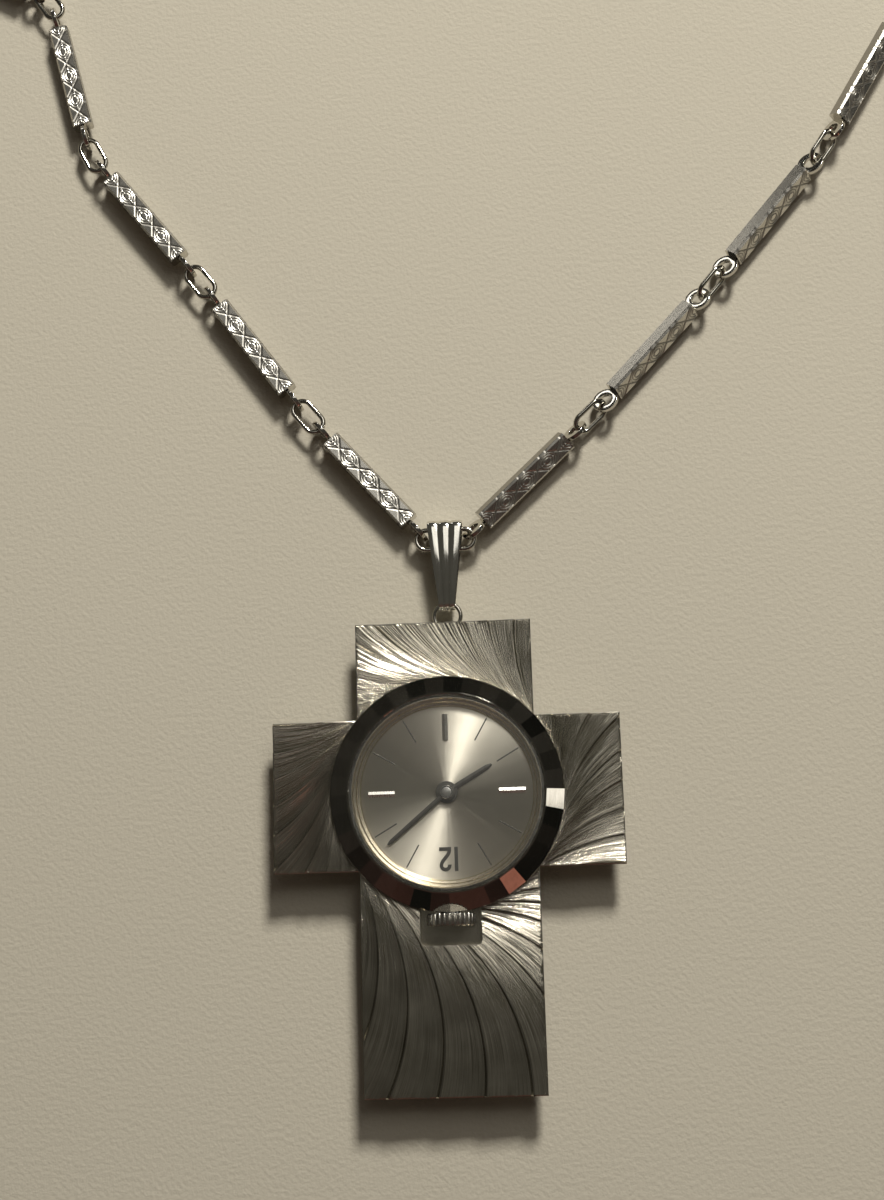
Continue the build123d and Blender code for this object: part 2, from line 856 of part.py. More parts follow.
def jewel_places():
    """Point and lower level of every pivot jewel."""
    places = [(centre_point, bridge_front - jewel_height)]
    for point in (third_point, fourth_point, escape_point):
        places.append((point, bridge_front - jewel_height))
        places.append((point, main_plate_back))
    places.append((pallet_point, bridge_front - jewel_height))
    places.append((pallet_point, main_plate_back))
    places.append((balance_point, cock_front - jewel_height))
    places.append((balance_point, main_plate_back))
    return places


def make_jewels():
    """Pivot jewels, one solid each."""
    stones = []
    for point, low in jewel_places():
        stones.append(ring(jewel_radius, jewel_hole, low, low + jewel_height, point))
    return Compound(children=stones)


def jewel_seats(shape, low_limit, high_limit):
    """The shape with a seat for every jewel between two levels and a hole behind it."""
    for point, low in jewel_places():
        if low_limit <= low <= high_limit:
            shape -= disc(jewel_radius + seat_gap, low - seat_gap, low + jewel_height + seat_gap, point)
            shape -= disc(arbor_radius, low - overrun, low + jewel_height + overrun, point)
    return shape


def make_main_plate():
    """Main plate with its rim, bosses, recesses and the channel of the stem."""
    plate = disc(movement_radius, main_plate_back, main_plate_front)
    plate += ring(movement_radius, movement_radius - dial_seat_width, main_plate_front, dial_back)
    plate += ring(movement_radius, movement_radius - rim_width, bridge_front, main_plate_back)
    for point, level in screw_places()[:-1]:
        plate += disc(screw_boss_radius, bridge_front, main_plate_back, point)
    plate += disc(cock_foot_radius, cock_front, main_plate_back, cock_foot)
    plate &= disc(movement_radius, bridge_back, dial_back)
    plate = screw_holes(plate)
    plate = jewel_seats(plate, main_plate_back, main_plate_front)
    plate -= disc(barrel_radius + layer_gap, main_plate_back - overrun, barrel_top + mesh_gap, barrel_point)
    plate -= disc(
        barrel_pivot_radius + running_gap, main_plate_back, barrel_pivot_top + seat_gap, barrel_point
    )
    plate -= disc(centre_arbor_radius + running_gap, main_plate_back - overrun, dial_back)
    recess = main_plate_front - motion_recess
    plate -= disc(cannon_leaf_radius + mesh_gap, recess, dial_back)
    plate -= disc(minute_wheel_radius + mesh_gap, recess, dial_back, minute_wheel_point)
    plate += disc(minute_stud_radius, recess, hour_wheel_low + hour_wheel_thickness, minute_wheel_point)
    half_slot = winding_pinion_radius + keyless_gap
    plate -= block(
        -half_slot, half_slot, -keyless_end, -keyless_start, main_plate_back - overrun, dial_back
    )
    pilot_bore = stem_pilot_radius + running_gap
    plate -= along_stem(pilot_bore, stem_inner_end - keyless_gap, keyless_start + overrun)
    plate -= along_stem(stem_radius + running_gap, keyless_end - overrun, case_radius)
    half_pin = lever_pin_radius + keyless_gap
    plate -= block(
        -half_pin,
        half_pin,
        -lever_pin_reach - crown_travel - half_pin,
        -lever_pin_reach + half_pin,
        stem_height,
        dial_back,
    )
    for point in (setting_pivot, yoke_pivot):
        stud_hole = lever_pivot_radius + running_gap
        plate -= disc(stud_hole, main_plate_front - lever_pivot_depth - seat_gap, dial_back, point)
    return plate


def split_side(near, far):
    """Half of the movement's disc on one side of the line between the two bridges."""
    wide = 2 * movement_radius
    side = block(near, far, -wide, wide, bridge_back, bridge_front)
    return Rot(0, 0, bridge_split_turn) * side


def make_barrel_bridge():
    """Bridge over the barrel, with the seats of the ratchet, crown wheel and click."""
    bridge = disc(bridge_radius, bridge_back, bridge_front)
    bridge &= split_side(bridge_split_offset + bridge_split_gap, 2 * movement_radius)
    bridge -= ring(
        crown_wheel_radius + layer_gap,
        crown_ring_inside - layer_gap,
        bridge_back - overrun,
        crown_ring_top + mesh_gap,
        crown_wheel_point,
    )
    half_slot = winding_pinion_radius + keyless_gap
    bridge -= block(
        -half_slot,
        half_slot,
        -winding_pinion_end - keyless_gap,
        -winding_pinion_start + keyless_gap,
        crown_ring_top + mesh_gap,
        bridge_front + overrun,
    )
    bridge += disc(crown_core_radius, winding_low + mesh_gap, bridge_back, crown_wheel_point)
    pivot_bore = barrel_pivot_radius + running_gap
    bridge -= disc(pivot_bore, bridge_back - overrun, bridge_front + overrun, barrel_point)
    stud_bore = lever_pivot_radius + running_gap
    bridge -= disc(stud_bore, bridge_back - overrun, click_stud_top + seat_gap, click_point)
    return screw_holes(bridge)


def make_train_bridge():
    """Bridge over the centre, third, fourth and escape wheels."""
    bridge = disc(bridge_radius, bridge_back, bridge_front)
    bridge &= split_side(-2 * movement_radius, bridge_split_offset)
    wide = 2 * movement_radius
    bridge &= block(-wide, wide, -wide, train_bridge_edge, bridge_back, bridge_front)
    return jewel_seats(screw_holes(bridge), bridge_back, bridge_front)


def make_pallet_bridge():
    """Small bridge that carries the pallet fork's back pivot."""
    bridge = bar_between(pallet_foot, pallet_point, pallet_bridge_width, pallet_bridge_back, bridge_front)
    bridge += disc(screw_boss_radius, pallet_bridge_back, bridge_front, pallet_foot)
    bridge &= disc(movement_radius, pallet_bridge_back, bridge_front)
    return jewel_seats(screw_holes(bridge), bridge_back, bridge_front)


def make_balance_cock():
    """Cock that reaches from its foot over the balance."""
    outline = (Pos(*balance_point) * Circle(cock_head_radius)).edges()
    outline += (Pos(*cock_foot) * Circle(cock_foot_radius)).edges()
    cock = Pos(0, 0, bridge_back) * extrude(make_hull(outline), amount=cock_thickness)
    return jewel_seats(screw_holes(cock), bridge_back - cock_thickness, cock_front - jewel_height)


# Winding and setting


def make_winding_pinion():
    """Pinion that runs round on the stem and turns the crown wheel."""
    length = winding_pinion_end - winding_pinion_start
    wheel = toothed(winding_pinion_radius, winding_tooth_depth, winding_pinion_teeth, 0, length)
    wheel -= disc(stem_radius + running_gap, -overrun, length + overrun)
    return Pos(0, -winding_pinion_start, stem_height) * Rot(90, 0, 0) * wheel


def make_sliding_pinion():
    """Grooved pinion with a square hole, which slides on the stem's square."""
    end = sliding_pinion_start + sliding_pinion_length
    middle = sliding_pinion_start + sliding_pinion_length / 2
    half_groove = lever_pin_radius + keyless_gap
    pinion = along_stem(sliding_pinion_radius, sliding_pinion_start, end)
    groove = along_stem(sliding_pinion_radius + overrun, middle - half_groove, middle + half_groove)
    pinion -= groove - along_stem(sliding_core_radius, sliding_pinion_start, end)
    hole = stem_square / 2 + running_gap
    return pinion - block(
        -hole, hole, -end - overrun, -sliding_pinion_start + overrun, stem_height - hole, stem_height + hole
    )


def make_winding_stem():
    """Stem with its pilot, square, lever groove, the collar under the crown and the thread."""
    square_start = stem_inner_end + stem_pilot_length
    round_start = sliding_pinion_start + sliding_pinion_length + keyless_gap / 2
    half = stem_square / 2
    stem = along_stem(stem_pilot_radius, stem_inner_end, round_start)
    stem += block(-half, half, -round_start, -square_start, stem_height - half, stem_height + half)
    stem += along_stem(stem_radius, round_start, groove_start)
    stem += along_stem(groove_radius, groove_start, groove_start + groove_length)
    stem += along_stem(stem_radius, groove_start + groove_length, stem_collar_start)
    stem += along_stem(stem_collar_radius, stem_collar_start, crown_start)
    return stem + along_stem(stem_thread_radius, crown_start, crown_bore_end)


def make_crown():
    """Fluted crown, screwed on the stem down to its collar."""
    crown = along_stem(crown_radius, crown_start, crown_end)
    rims = crown.edges().filter_by(GeomType.CIRCLE)
    crown = chamfer(rims, crown_edge)
    for index in range(crown_flutes):
        x, z = around(crown_radius + crown_flute_radius / 3, 360 / crown_flutes * index)
        rod = Cylinder(crown_flute_radius, crown_length + 2 * overrun, align=ON_BASE)
        crown -= Pos(x, -crown_start + overrun, stem_height + z) * Rot(90, 0, 0) * rod
    return crown - along_stem(stem_thread_radius + seat_gap, crown_start - overrun, crown_bore_end)


def make_setting_lever():
    """Lever whose pin rides in the stem's groove."""
    pin = (0.0, -lever_pin_reach)
    low = main_plate_front + seat_gap
    high = low + lever_thickness
    lever = bar_between(setting_pivot, pin, lever_width, low, high)
    lever += disc(lever_pin_radius, stem_height + groove_radius + mesh_gap, high, pin)
    return lever + disc(lever_pivot_radius, main_plate_front - lever_pivot_depth, high, setting_pivot)


def make_yoke():
    """Lever whose pin shifts the sliding pinion."""
    pin = (0.0, -yoke_pin_reach)
    low = main_plate_front + seat_gap
    high = low + lever_thickness
    lever = bar_between(yoke_pivot, pin, lever_width, low, high)
    lever += disc(lever_pin_radius, stem_height + sliding_core_radius + mesh_gap, high, pin)
    return lever + disc(lever_pivot_radius, main_plate_front - lever_pivot_depth, high, yoke_pivot)


def make_crown_wheel():
    """Crown wheel: flat teeth for the ratchet wheel and an upright ring towards the stem."""
    point = crown_wheel_point
    wheel = toothed(crown_wheel_radius, tooth_depth, crown_wheel_teeth, winding_low, winding_top, point)
    wheel += ring(crown_wheel_radius - tooth_depth, crown_ring_inside, winding_top, crown_ring_top, point)
    core_bore = crown_core_radius + running_gap
    return wheel - disc(core_bore, winding_low - overrun, winding_top + overrun, point)


def make_ratchet_wheel():
    """Ratchet wheel on the barrel arbor."""
    point = barrel_point
    wheel = toothed(ratchet_radius, tooth_depth, ratchet_wheel_teeth, winding_low, winding_top, point)
    seat = barrel_pivot_radius + seat_gap
    return wheel - disc(seat, winding_low - overrun, winding_top + overrun, point)


def make_click():
    """Click that stops the ratchet wheel from turning back."""
    arm = around(click_length, click_turn + 180 - click_arm_turn)
    end = (click_point[0] + arm[0], click_point[1] + arm[1])
    click = bar_between(click_point, end, click_width, winding_low, winding_top)
    click += disc(click_radius, winding_low, winding_top, click_point)
    return click + disc(lever_pivot_radius, winding_top, click_stud_top, click_point)


# Going train


def make_mainspring_barrel():
    """Toothed drum, closed at both ends, that holds the mainspring."""
    drum_radius = barrel_radius - barrel_teeth_depth
    drum = toothed(
        barrel_radius,
        barrel_teeth_depth,
        barrel_teeth,
        barrel_low,
        barrel_low + barrel_teeth_height,
        barrel_point,
    )
    drum += disc(drum_radius, barrel_low, barrel_top, barrel_point)
    drum -= disc(drum_radius - barrel_wall, barrel_low + barrel_wall, barrel_top - barrel_wall, barrel_point)
    return drum - disc(
        barrel_pivot_radius + running_gap, barrel_low - overrun, barrel_top + overrun, barrel_point
    )


def spiral(inner, outer, turns, steps, blade, low, high, point):
    """Flat spiral of a blade, on edge."""
    left = []
    right = []
    for step in range(turns * steps + 1):
        radius = inner + (outer - inner) * step / (turns * steps)
        turn = 360 / steps * step
        x, y = around(radius + blade / 2, turn)
        left.append((point[0] + x, point[1] + y))
        x, y = around(radius - blade / 2, turn)
        right.append((point[0] + x, point[1] + y))
    return prism(left + right[::-1], low, high)


def make_mainspring():
    """Mainspring, coiled from the arbor to the drum's wall."""
    return spiral(
        barrel_arbor_radius + layer_gap + mainspring_blade / 2,
        barrel_radius - barrel_teeth_depth - barrel_wall - layer_gap - mainspring_blade / 2,
        mainspring_turns,
        mainspring_steps,
        mainspring_blade,
        barrel_low + barrel_wall + layer_gap,
        barrel_top - barrel_wall - layer_gap,
        barrel_point,
    )


def make_barrel_arbor():
    """Arbor through the barrel, from the ratchet wheel to the main plate."""
    low = barrel_low + barrel_wall + seat_gap
    core = disc(barrel_arbor_radius, low, barrel_top - barrel_wall - seat_gap, barrel_point)
    return core + disc(barrel_pivot_radius, winding_low, barrel_pivot_top, barrel_point)


def make_centre_wheel():
    """Centre wheel, its pinion and the long arbor that carries the cannon pinion."""
    low = bridge_front + low_wheel_rise
    pinion_low = barrel_low + layer_gap
    wheel = crossed_wheel(
        centre_wheel_radius, centre_wheel_teeth, 5, low, low + wheel_thickness, centre_point
    )
    wheel += toothed(
        centre_pinion_radius,
        pinion_tooth_depth,
        centre_pinion_teeth,
        pinion_low,
        pinion_low + centre_pinion_height,
    )
    wheel += disc(centre_arbor_radius, bridge_front + mesh_gap, minute_hand_low + hand_thickness - mesh_gap)
    return wheel + disc(pivot_radius, bridge_front - jewel_height, bridge_front + overrun)


def train_wheel(wheel_radius, teeth, rise, leaf_radius, leaves, leaf_rise, point):
    """Wheel and pinion on one arbor between the bridge and the plate."""
    low = bridge_front + rise
    leaf_low = bridge_front + leaf_rise
    wheel = crossed_wheel(wheel_radius, teeth, 4, low, low + wheel_thickness, point)
    wheel += toothed(leaf_radius, pinion_tooth_depth, leaves, leaf_low, leaf_low + pinion_height, point)
    return wheel + arbor(point, bridge_front, main_plate_back)


def make_third_wheel():
    """Third wheel and pinion."""
    return train_wheel(
        third_wheel_radius,
        third_wheel_teeth,
        third_wheel_rise,
        third_pinion_radius,
        third_pinion_teeth,
        low_pinion_rise,
        third_point,
    )


def make_fourth_wheel():
    """Fourth wheel and pinion."""
    return train_wheel(
        fourth_wheel_radius,
        fourth_wheel_teeth,
        low_wheel_rise,
        fourth_pinion_radius,
        fourth_pinion_teeth,
        high_pinion_rise,
        fourth_point,
    )


def make_escape_wheel():
    """Escape wheel with its slanting teeth, and its pinion."""
    low = bridge_front + escape_wheel_rise
    high = low + wheel_thickness
    root = escape_wheel_radius - escape_tooth_length
    tooth_shares = ((0.0, 0.0), (0.45, 0.0), (0.85, 1.0), (0.95, 1.0))
    points = []
    for index in range(escape_wheel_teeth):
        step = 360 / escape_wheel_teeth
        for turn_share, height_share in tooth_shares:
            radius = root + escape_tooth_length * height_share
            x, y = around(radius, step * (index + turn_share))
            points.append((escape_point[0] + x, escape_point[1] + y))
    wheel = prism(points, low, high)
    wheel -= disc(root - wheel_rim / 2, low - overrun, high + overrun, escape_point)
    wheel += disc(escape_pinion_radius, low, high, escape_point)
    for index in range(4):
        end = around(root - wheel_rim / 4, 90 * index)
        tip = (escape_point[0] + end[0], escape_point[1] + end[1])
        wheel += bar_between(escape_point, tip, spoke_width / 2, low, high)
    leaf_low = bridge_front + low_pinion_rise
    wheel += toothed(
        escape_pinion_radius,
        pinion_tooth_depth,
        escape_pinion_teeth,
        leaf_low,
        leaf_low + pinion_height,
        escape_point,
    )
    return wheel + arbor(escape_point, bridge_front, main_plate_back)


def make_pallet_fork():
    """Pallet fork: two arms about the escape wheel and a forked lever to the balance."""
    low = bridge_front + escape_wheel_rise
    high = low + wheel_thickness
    fork = disc(wheel_hub / 2, low, high, pallet_point)
    for side in (-1, 1):
        arm = around(pallet_arm_length, lever_turn + 180 + side * pallet_spread)
        end = (pallet_point[0] + arm[0], pallet_point[1] + arm[1])
        fork += bar_between(pallet_point, end, pallet_arm_width, low, high)
    reach = lever_span - pallet_distance - impulse_ring - impulse_radius - fork_clear
    lever = block(0, reach, -fork_width / 2, fork_width / 2, low, high)
    lever += block(reach - fork_horn, reach, -fork_width, fork_width, low, high)
    lever -= block(
        reach - fork_horn / 2,
        reach + overrun,
        -fork_width / 2,
        fork_width / 2,
        low - overrun,
        high + overrun,
    )
    fork += Pos(pallet_point[0], pallet_point[1], 0) * Rot(0, 0, lever_turn) * lever
    return fork + arbor(pallet_point, bridge_front, main_plate_back)


def make_balance_wheel():
    """Balance with its two arms, staff, roller and impulse pin."""
    low = bridge_front + balance_rise
    high = low + balance_thickness
    wheel = ring(balance_radius, balance_radius - balance_rim, low, high, balance_point)
    middle = balance_radius - balance_rim / 2
    wheel += bar_between(
        (balance_point[0] - middle, balance_point[1]),
        (balance_point[0] + middle, balance_point[1]),
        balance_arm_width,
        low,
        high,
    )
    wheel += disc(roller_radius, low, bridge_front + roller_top_rise, balance_point)
    pin = around(impulse_ring, lever_turn + 180)
    pin_point = (balance_point[0] + pin[0], balance_point[1] + pin[1])
    wheel += disc(impulse_radius, high, bridge_front + roller_top_rise, pin_point)
    return wheel + arbor(balance_point, cock_front, main_plate_back)


def make_hairspring():
    """Hairspring, coiled out from a collet on the balance staff."""
    low = bridge_back + hairspring_rise
    high = low + hairspring_height
    spring = spiral(
        collet_radius + hairspring_blade / 2,
        hairspring_outer,
        hairspring_turns,
        mainspring_steps,
        hairspring_blade,
        low,
        high,
        balance_point,
    )
    collet = ring(collet_radius + hairspring_blade / 2, arbor_radius + seat_gap, low, high, balance_point)
    return spring + collet


# Jump ring, bail and chain


def make_jump_ring():
    """Round wire ring that joins the plate's loop to the bail."""
    return Pos(jump_ring_x, jump_ring_y, hang_height) * Torus(jump_ring_radius, wire_radius)


def bail_hull(grow):
    """Side outline of the bail's opening, grown outwards, as a solid across its full width."""
    foot = Pos(bail_foot_y, hang_height) * Circle(bail_opening_foot + grow)
    outline = foot.edges()
    for side in (-1, 1):
        offset = side * (bail_opening_half - bail_corner)
        corner = Pos(bail_foot_y + bail_length, hang_height + offset) * Circle(bail_corner + grow)
        outline += corner.edges()
    face = Plane.YZ * make_hull(outline)
    return Pos(jump_ring_x, 0, 0) * extrude(face, amount=bail_top_width / 2 + overrun, both=True)


def bail_strip(share, half_top, half_foot):
    """Upright prism that narrows towards the bail's foot, at a share of its half width."""
    top_y = bail_top_y + overrun
    low_y = bail_low_y - overrun
    top_x = jump_ring_x + share * bail_top_width / 2
    foot_x = jump_ring_x + share * bail_foot_width / 2
    points = [
        (foot_x - half_foot, low_y),
        (foot_x + half_foot, low_y),
        (top_x + half_top, top_y),
        (top_x - half_top, top_y),
    ]
    return prism(points, -overrun, hang_height + bail_opening_half + bail_strap + overrun)


def make_bail():
    """Tapering strap bail with grooves down its front."""
    bail = bail_hull(bail_strap) & bail_strip(0.0, bail_top_width / 2, bail_foot_width / 2)
    skin = bail_hull(bail_strap + overrun) - bail_hull(bail_strap - bail_groove_depth)
    front = block(
        jump_ring_x - bail_top_width,
        jump_ring_x + bail_top_width,
        bail_low_y - overrun,
        bail_top_y + overrun,
        hang_height,
        hang_height + bail_top_width,
    )
    for share in bail_groove_shares:
        groove = bail_strip(share, bail_groove_width / 2, bail_groove_width / 4)
        bail -= skin & groove & front
    return bail - bail_hull(0)


def arc_tube(radius, tube, start, turn):
    """Round tube bent about Z, from one direction through a turn."""
    return Rot(0, 0, start) * Torus(radius, tube, major_angle=turn, align=None)


def oval_link(end_radius, straight):
    """Oval wire link lying flat, its long way along X."""
    link = Pos(straight / 2, 0, 0) * arc_tube(end_radius, wire_radius, -90, 180)
    link += Pos(-straight / 2, 0, 0) * arc_tube(end_radius, wire_radius, 90, 180)
    for side in (-1, 1):
        rod = Cylinder(wire_radius, straight)
        link += Pos(0, side * end_radius, 0) * Rot(0, 90, 0) * rod
    return link


def make_centre_link():
    """Oval link that the bail hangs on."""
    place = Pos(jump_ring_x, centre_link_y, chain_height)
    return place * oval_link(centre_link_end_radius, centre_link_straight)


def chain_bar():
    """Engraved bar with an upright eye at each end, its long way along X."""
    half_body = bar_pitch / 2 - eye_reach
    body = Box(2 * half_body, bar_width, bar_thickness)
    body = chamfer(body.edges().filter_by(Axis.X), bar_bevel)
    half_diagonal = bar_width
    for index in range(engraving_count):
        x = -half_body + 2 * half_body / engraving_count * (index + 1 / 2)
        for side in (-1, 1):
            groove = Box(2 * half_diagonal, engraving_width, 2 * engraving_depth)
            for face in (-1, 1):
                place = Pos(x, 0, face * bar_thickness / 2) * Rot(0, 0, side * engraving_turn)
                body -= place * groove
    eye = Rot(90, 0, 0) * Cylinder(eye_radius, eye_thickness)
    hole = Rot(90, 0, 0) * Cylinder(eye_hole_radius, bar_width)
    for side in (-1, 1):
        body += Pos(side * bar_pitch / 2, 0, 0) * eye
    for side in (-1, 1):
        body -= Pos(side * bar_pitch / 2, 0, 0) * hole
    return body


def link_course(side):
    """Kind, heading, roll, start and end point of every link on one side, in order."""
    headings = right_headings if side > 0 else left_headings
    rolls = right_rolls if side > 0 else left_rolls
    links = []
    x = jump_ring_x + side * centre_link_straight / 2
    y = centre_link_y
    reach = centre_link_end_radius + eye_play
    for index, heading in enumerate(headings):
        roll = rolls[index] if index < len(rolls) else 0.0
        if index % 2 == 0:
            step_x, step_y = around(reach, heading)
            start = (x + step_x, y + step_y)
            step_x, step_y = around(bar_pitch, heading)
            end = (start[0] + step_x, start[1] + step_y)
            links.append(("bar", heading, roll, start, end))
            reach = ring_end_radius + eye_play
            step_x, step_y = around(reach, heading)
            x, y = end[0] + step_x, end[1] + step_y
        else:
            start = (x, y)
            step_x, step_y = around(ring_straight, heading)
            x, y = x + step_x, y + step_y
            links.append(("ring", heading, roll, start, (x, y)))
    return links


def placed_link(link, bar, oval):
    """A bar or an oval ring set in its place on the chain."""
    kind, heading, roll, start, end = link
    place = Pos((start[0] + end[0]) / 2, (start[1] + end[1]) / 2, chain_height)
    place = place * Rot(0, 0, heading) * Rot(roll, 0, 0)
    return place * (bar if kind == "bar" else oval)


def clasp_frame():
    """Point and heading of the clasp's middle, beyond the last left ring."""
    last = link_course(-1)[-1]
    step_x, step_y = around(ring_end_radius + eye_play + clasp_eye_reach, last[1])
    return (last[4][0] + step_x, last[4][1] + step_y), last[1]


def clasp_place():
    """Location of the clasp."""
    point, heading = clasp_frame()
    return Pos(point[0], point[1], chain_height) * Rot(0, 0, heading)


def ring_sector(inner, outer, half_height, start, turn):
    """Flat sector of a ring about Z."""
    face = Plane.XZ * Pos((inner + outer) / 2, 0) * Rectangle(outer - inner, 2 * half_height)
    return Rot(0, 0, start) * revolve(face, axis=Axis.Z, revolution_arc=turn)


def make_clasp_body():
    """Spring ring: an open tube bent round, with the eye that joins it to the chain."""
    tube_start = clasp_gap_start + clasp_gap_turn
    body = arc_tube(clasp_ring_radius, clasp_tube_radius, tube_start, 360 - clasp_gap_turn)
    eye = Rot(90, 0, 0) * Cylinder(eye_radius, eye_thickness)
    eye_place = Pos(-clasp_eye_reach, 0, 0)
    body += eye_place * eye
    body -= eye_place * Rot(90, 0, 0) * Cylinder(eye_hole_radius, bar_width)
    bore_start = tube_start - clasp_lead_turn
    body -= arc_tube(clasp_ring_radius, clasp_bore_radius, bore_start, clasp_bore_turn + clasp_lead_turn)
    slot_start = clasp_knob_turn - (clasp_slot_turn - clasp_travel_turn) / 2
    half_slot = clasp_knob_radius + clasp_bolt_gap
    outside = clasp_ring_radius + clasp_tube_radius + overrun
    body -= ring_sector(clasp_ring_radius, outside, half_slot, slot_start, clasp_slot_turn)
    return clasp_place() * body


def make_clasp_trigger():
    """Curved bolt that closes the spring ring's gap, with the knob that draws it back."""
    bolt_radius = clasp_bore_radius - clasp_bolt_gap
    bolt_start = clasp_gap_start + clasp_bolt_lead
    trigger = arc_tube(clasp_ring_radius, bolt_radius, bolt_start, clasp_bolt_turn)
    knob = Cylinder(clasp_knob_radius, clasp_knob_length, align=ON_BASE)
    trigger += Rot(0, 0, clasp_knob_turn) * Pos(clasp_ring_radius, 0, 0) * Rot(0, 90, 0) * knob
    return clasp_place() * trigger


def main():
    """Build every sub-component and write it as its own STEP file."""
    os.makedirs("parts", exist_ok=True)
    parts = {
        "cross_plate": make_cross_plate(),
        "case_body": make_case_body(),
        "case_back": make_case_back(),
        "bezel": make_bezel(),
        "crystal": make_crystal(),
        "inner_ring": make_inner_ring(),
        "crown": make_crown(),
        "winding_stem": make_winding_stem(),
        "dial": make_dial(),
        "dial_markers": make_dial_markers(),
        "hour_hand": make_hour_hand(),
        "minute_hand": make_minute_hand(),
        "cannon_pinion": make_cannon_pinion(),
        "hour_wheel": make_hour_wheel(),
        "minute_wheel": make_minute_wheel(),
        "main_plate": make_main_plate(),
        "winding_pinion": make_winding_pinion(),
        "sliding_pinion": make_sliding_pinion(),
        "setting_lever": make_setting_lever(),
        "yoke": make_yoke(),
        "barrel_bridge": make_barrel_bridge(),
        "train_bridge": make_train_bridge(),
        "pallet_bridge": make_pallet_bridge(),
        "balance_cock": make_balance_cock(),
        "mainspring_barrel": make_mainspring_barrel(),
        "mainspring": make_mainspring(),
        "barrel_arbor": make_barrel_arbor(),
        "ratchet_wheel": make_ratchet_wheel(),
        "crown_wheel": make_crown_wheel(),
        "click": make_click(),
        "centre_wheel": make_centre_wheel(),
        "third_wheel": make_third_wheel(),
        "fourth_wheel": make_fourth_wheel(),
        "escape_wheel": make_escape_wheel(),
        "pallet_fork": make_pallet_fork(),
        "balance_wheel": make_balance_wheel(),
        "hairspring": make_hairspring(),
        "jewels": make_jewels(),
        "bridge_screws": make_bridge_screws(),
        "jump_ring": make_jump_ring(),
        "bail": make_bail(),
        "centre_link": make_centre_link(),
        "clasp_body": make_clasp_body(),
        "clasp_trigger": make_clasp_trigger(),
    }
    bar = chain_bar()
    oval = oval_link(ring_end_radius, ring_straight)
    for side, name in ((-1, "left"), (1, "right")):
        links = link_course(side)
        for index in range(jointed_links):
            kind = links[index][0]
            node = f"chain_{kind}_{name}_{index // 2 + 1}"
            parts[node] = placed_link(links[index], bar, oval)
        rear = [placed_link(link, bar, oval) for link in links[jointed_links:]]
        if side > 0:
            last = links[-1]
            step = around(end_ring_radius - ring_end_radius, last[1])
            place = Pos(last[3][0] + step[0], last[3][1] + step[1], chain_height)
            rear[-1] = place * Torus(end_ring_radius, wire_radius)
        parts[f"rear_chain_{name}"] = Compound(children=rear)
    for node, shape in parts.items():
        export_step(shape, f"parts/{node}.step")
        print(node, len(shape.solids()), round(shape.volume, 4))


if __name__ == "__main__":
    main()
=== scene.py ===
import json
import logging
import math
from collections.abc import Iterable, Iterator, Sequence
from contextlib import contextmanager
from dataclasses import dataclass
from enum import Enum

import bmesh
import bpy
from mathutils import Matrix, Vector

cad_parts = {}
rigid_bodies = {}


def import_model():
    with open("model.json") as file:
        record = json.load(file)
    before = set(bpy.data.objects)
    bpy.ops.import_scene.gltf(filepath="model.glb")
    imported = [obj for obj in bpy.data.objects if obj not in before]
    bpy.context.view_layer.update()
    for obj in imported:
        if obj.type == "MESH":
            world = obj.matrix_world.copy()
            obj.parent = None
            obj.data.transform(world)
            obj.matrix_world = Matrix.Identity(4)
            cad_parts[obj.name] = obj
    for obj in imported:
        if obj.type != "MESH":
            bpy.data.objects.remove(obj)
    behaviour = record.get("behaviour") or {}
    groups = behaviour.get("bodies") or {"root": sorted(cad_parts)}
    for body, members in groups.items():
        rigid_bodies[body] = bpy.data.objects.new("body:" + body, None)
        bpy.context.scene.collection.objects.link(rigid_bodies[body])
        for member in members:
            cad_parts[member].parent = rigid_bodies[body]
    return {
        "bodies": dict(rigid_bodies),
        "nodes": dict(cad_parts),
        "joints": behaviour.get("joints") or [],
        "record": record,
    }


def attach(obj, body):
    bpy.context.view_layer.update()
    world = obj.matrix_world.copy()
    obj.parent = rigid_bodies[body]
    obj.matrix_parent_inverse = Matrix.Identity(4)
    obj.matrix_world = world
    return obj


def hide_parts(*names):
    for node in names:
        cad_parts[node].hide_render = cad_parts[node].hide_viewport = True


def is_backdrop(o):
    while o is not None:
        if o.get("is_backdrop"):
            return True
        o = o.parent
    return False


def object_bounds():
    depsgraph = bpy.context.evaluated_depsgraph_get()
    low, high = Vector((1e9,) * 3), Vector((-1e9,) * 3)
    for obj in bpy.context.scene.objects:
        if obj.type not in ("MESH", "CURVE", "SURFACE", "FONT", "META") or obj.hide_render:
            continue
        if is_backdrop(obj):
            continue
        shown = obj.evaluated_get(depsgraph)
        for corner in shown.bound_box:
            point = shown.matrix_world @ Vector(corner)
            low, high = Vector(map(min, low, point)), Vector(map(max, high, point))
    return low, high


LOG = logging.getLogger("pendant_watch")
MM = 0.001
FULL_TURN = 2 * math.pi
SEGMENT_JOIN = 0.002

Colour = tuple[float, float, float]
Point = tuple[float, float, float]
Flat = tuple[float, float]
Face = tuple[int, ...]
Shape = tuple[list[Point], list[Face]]


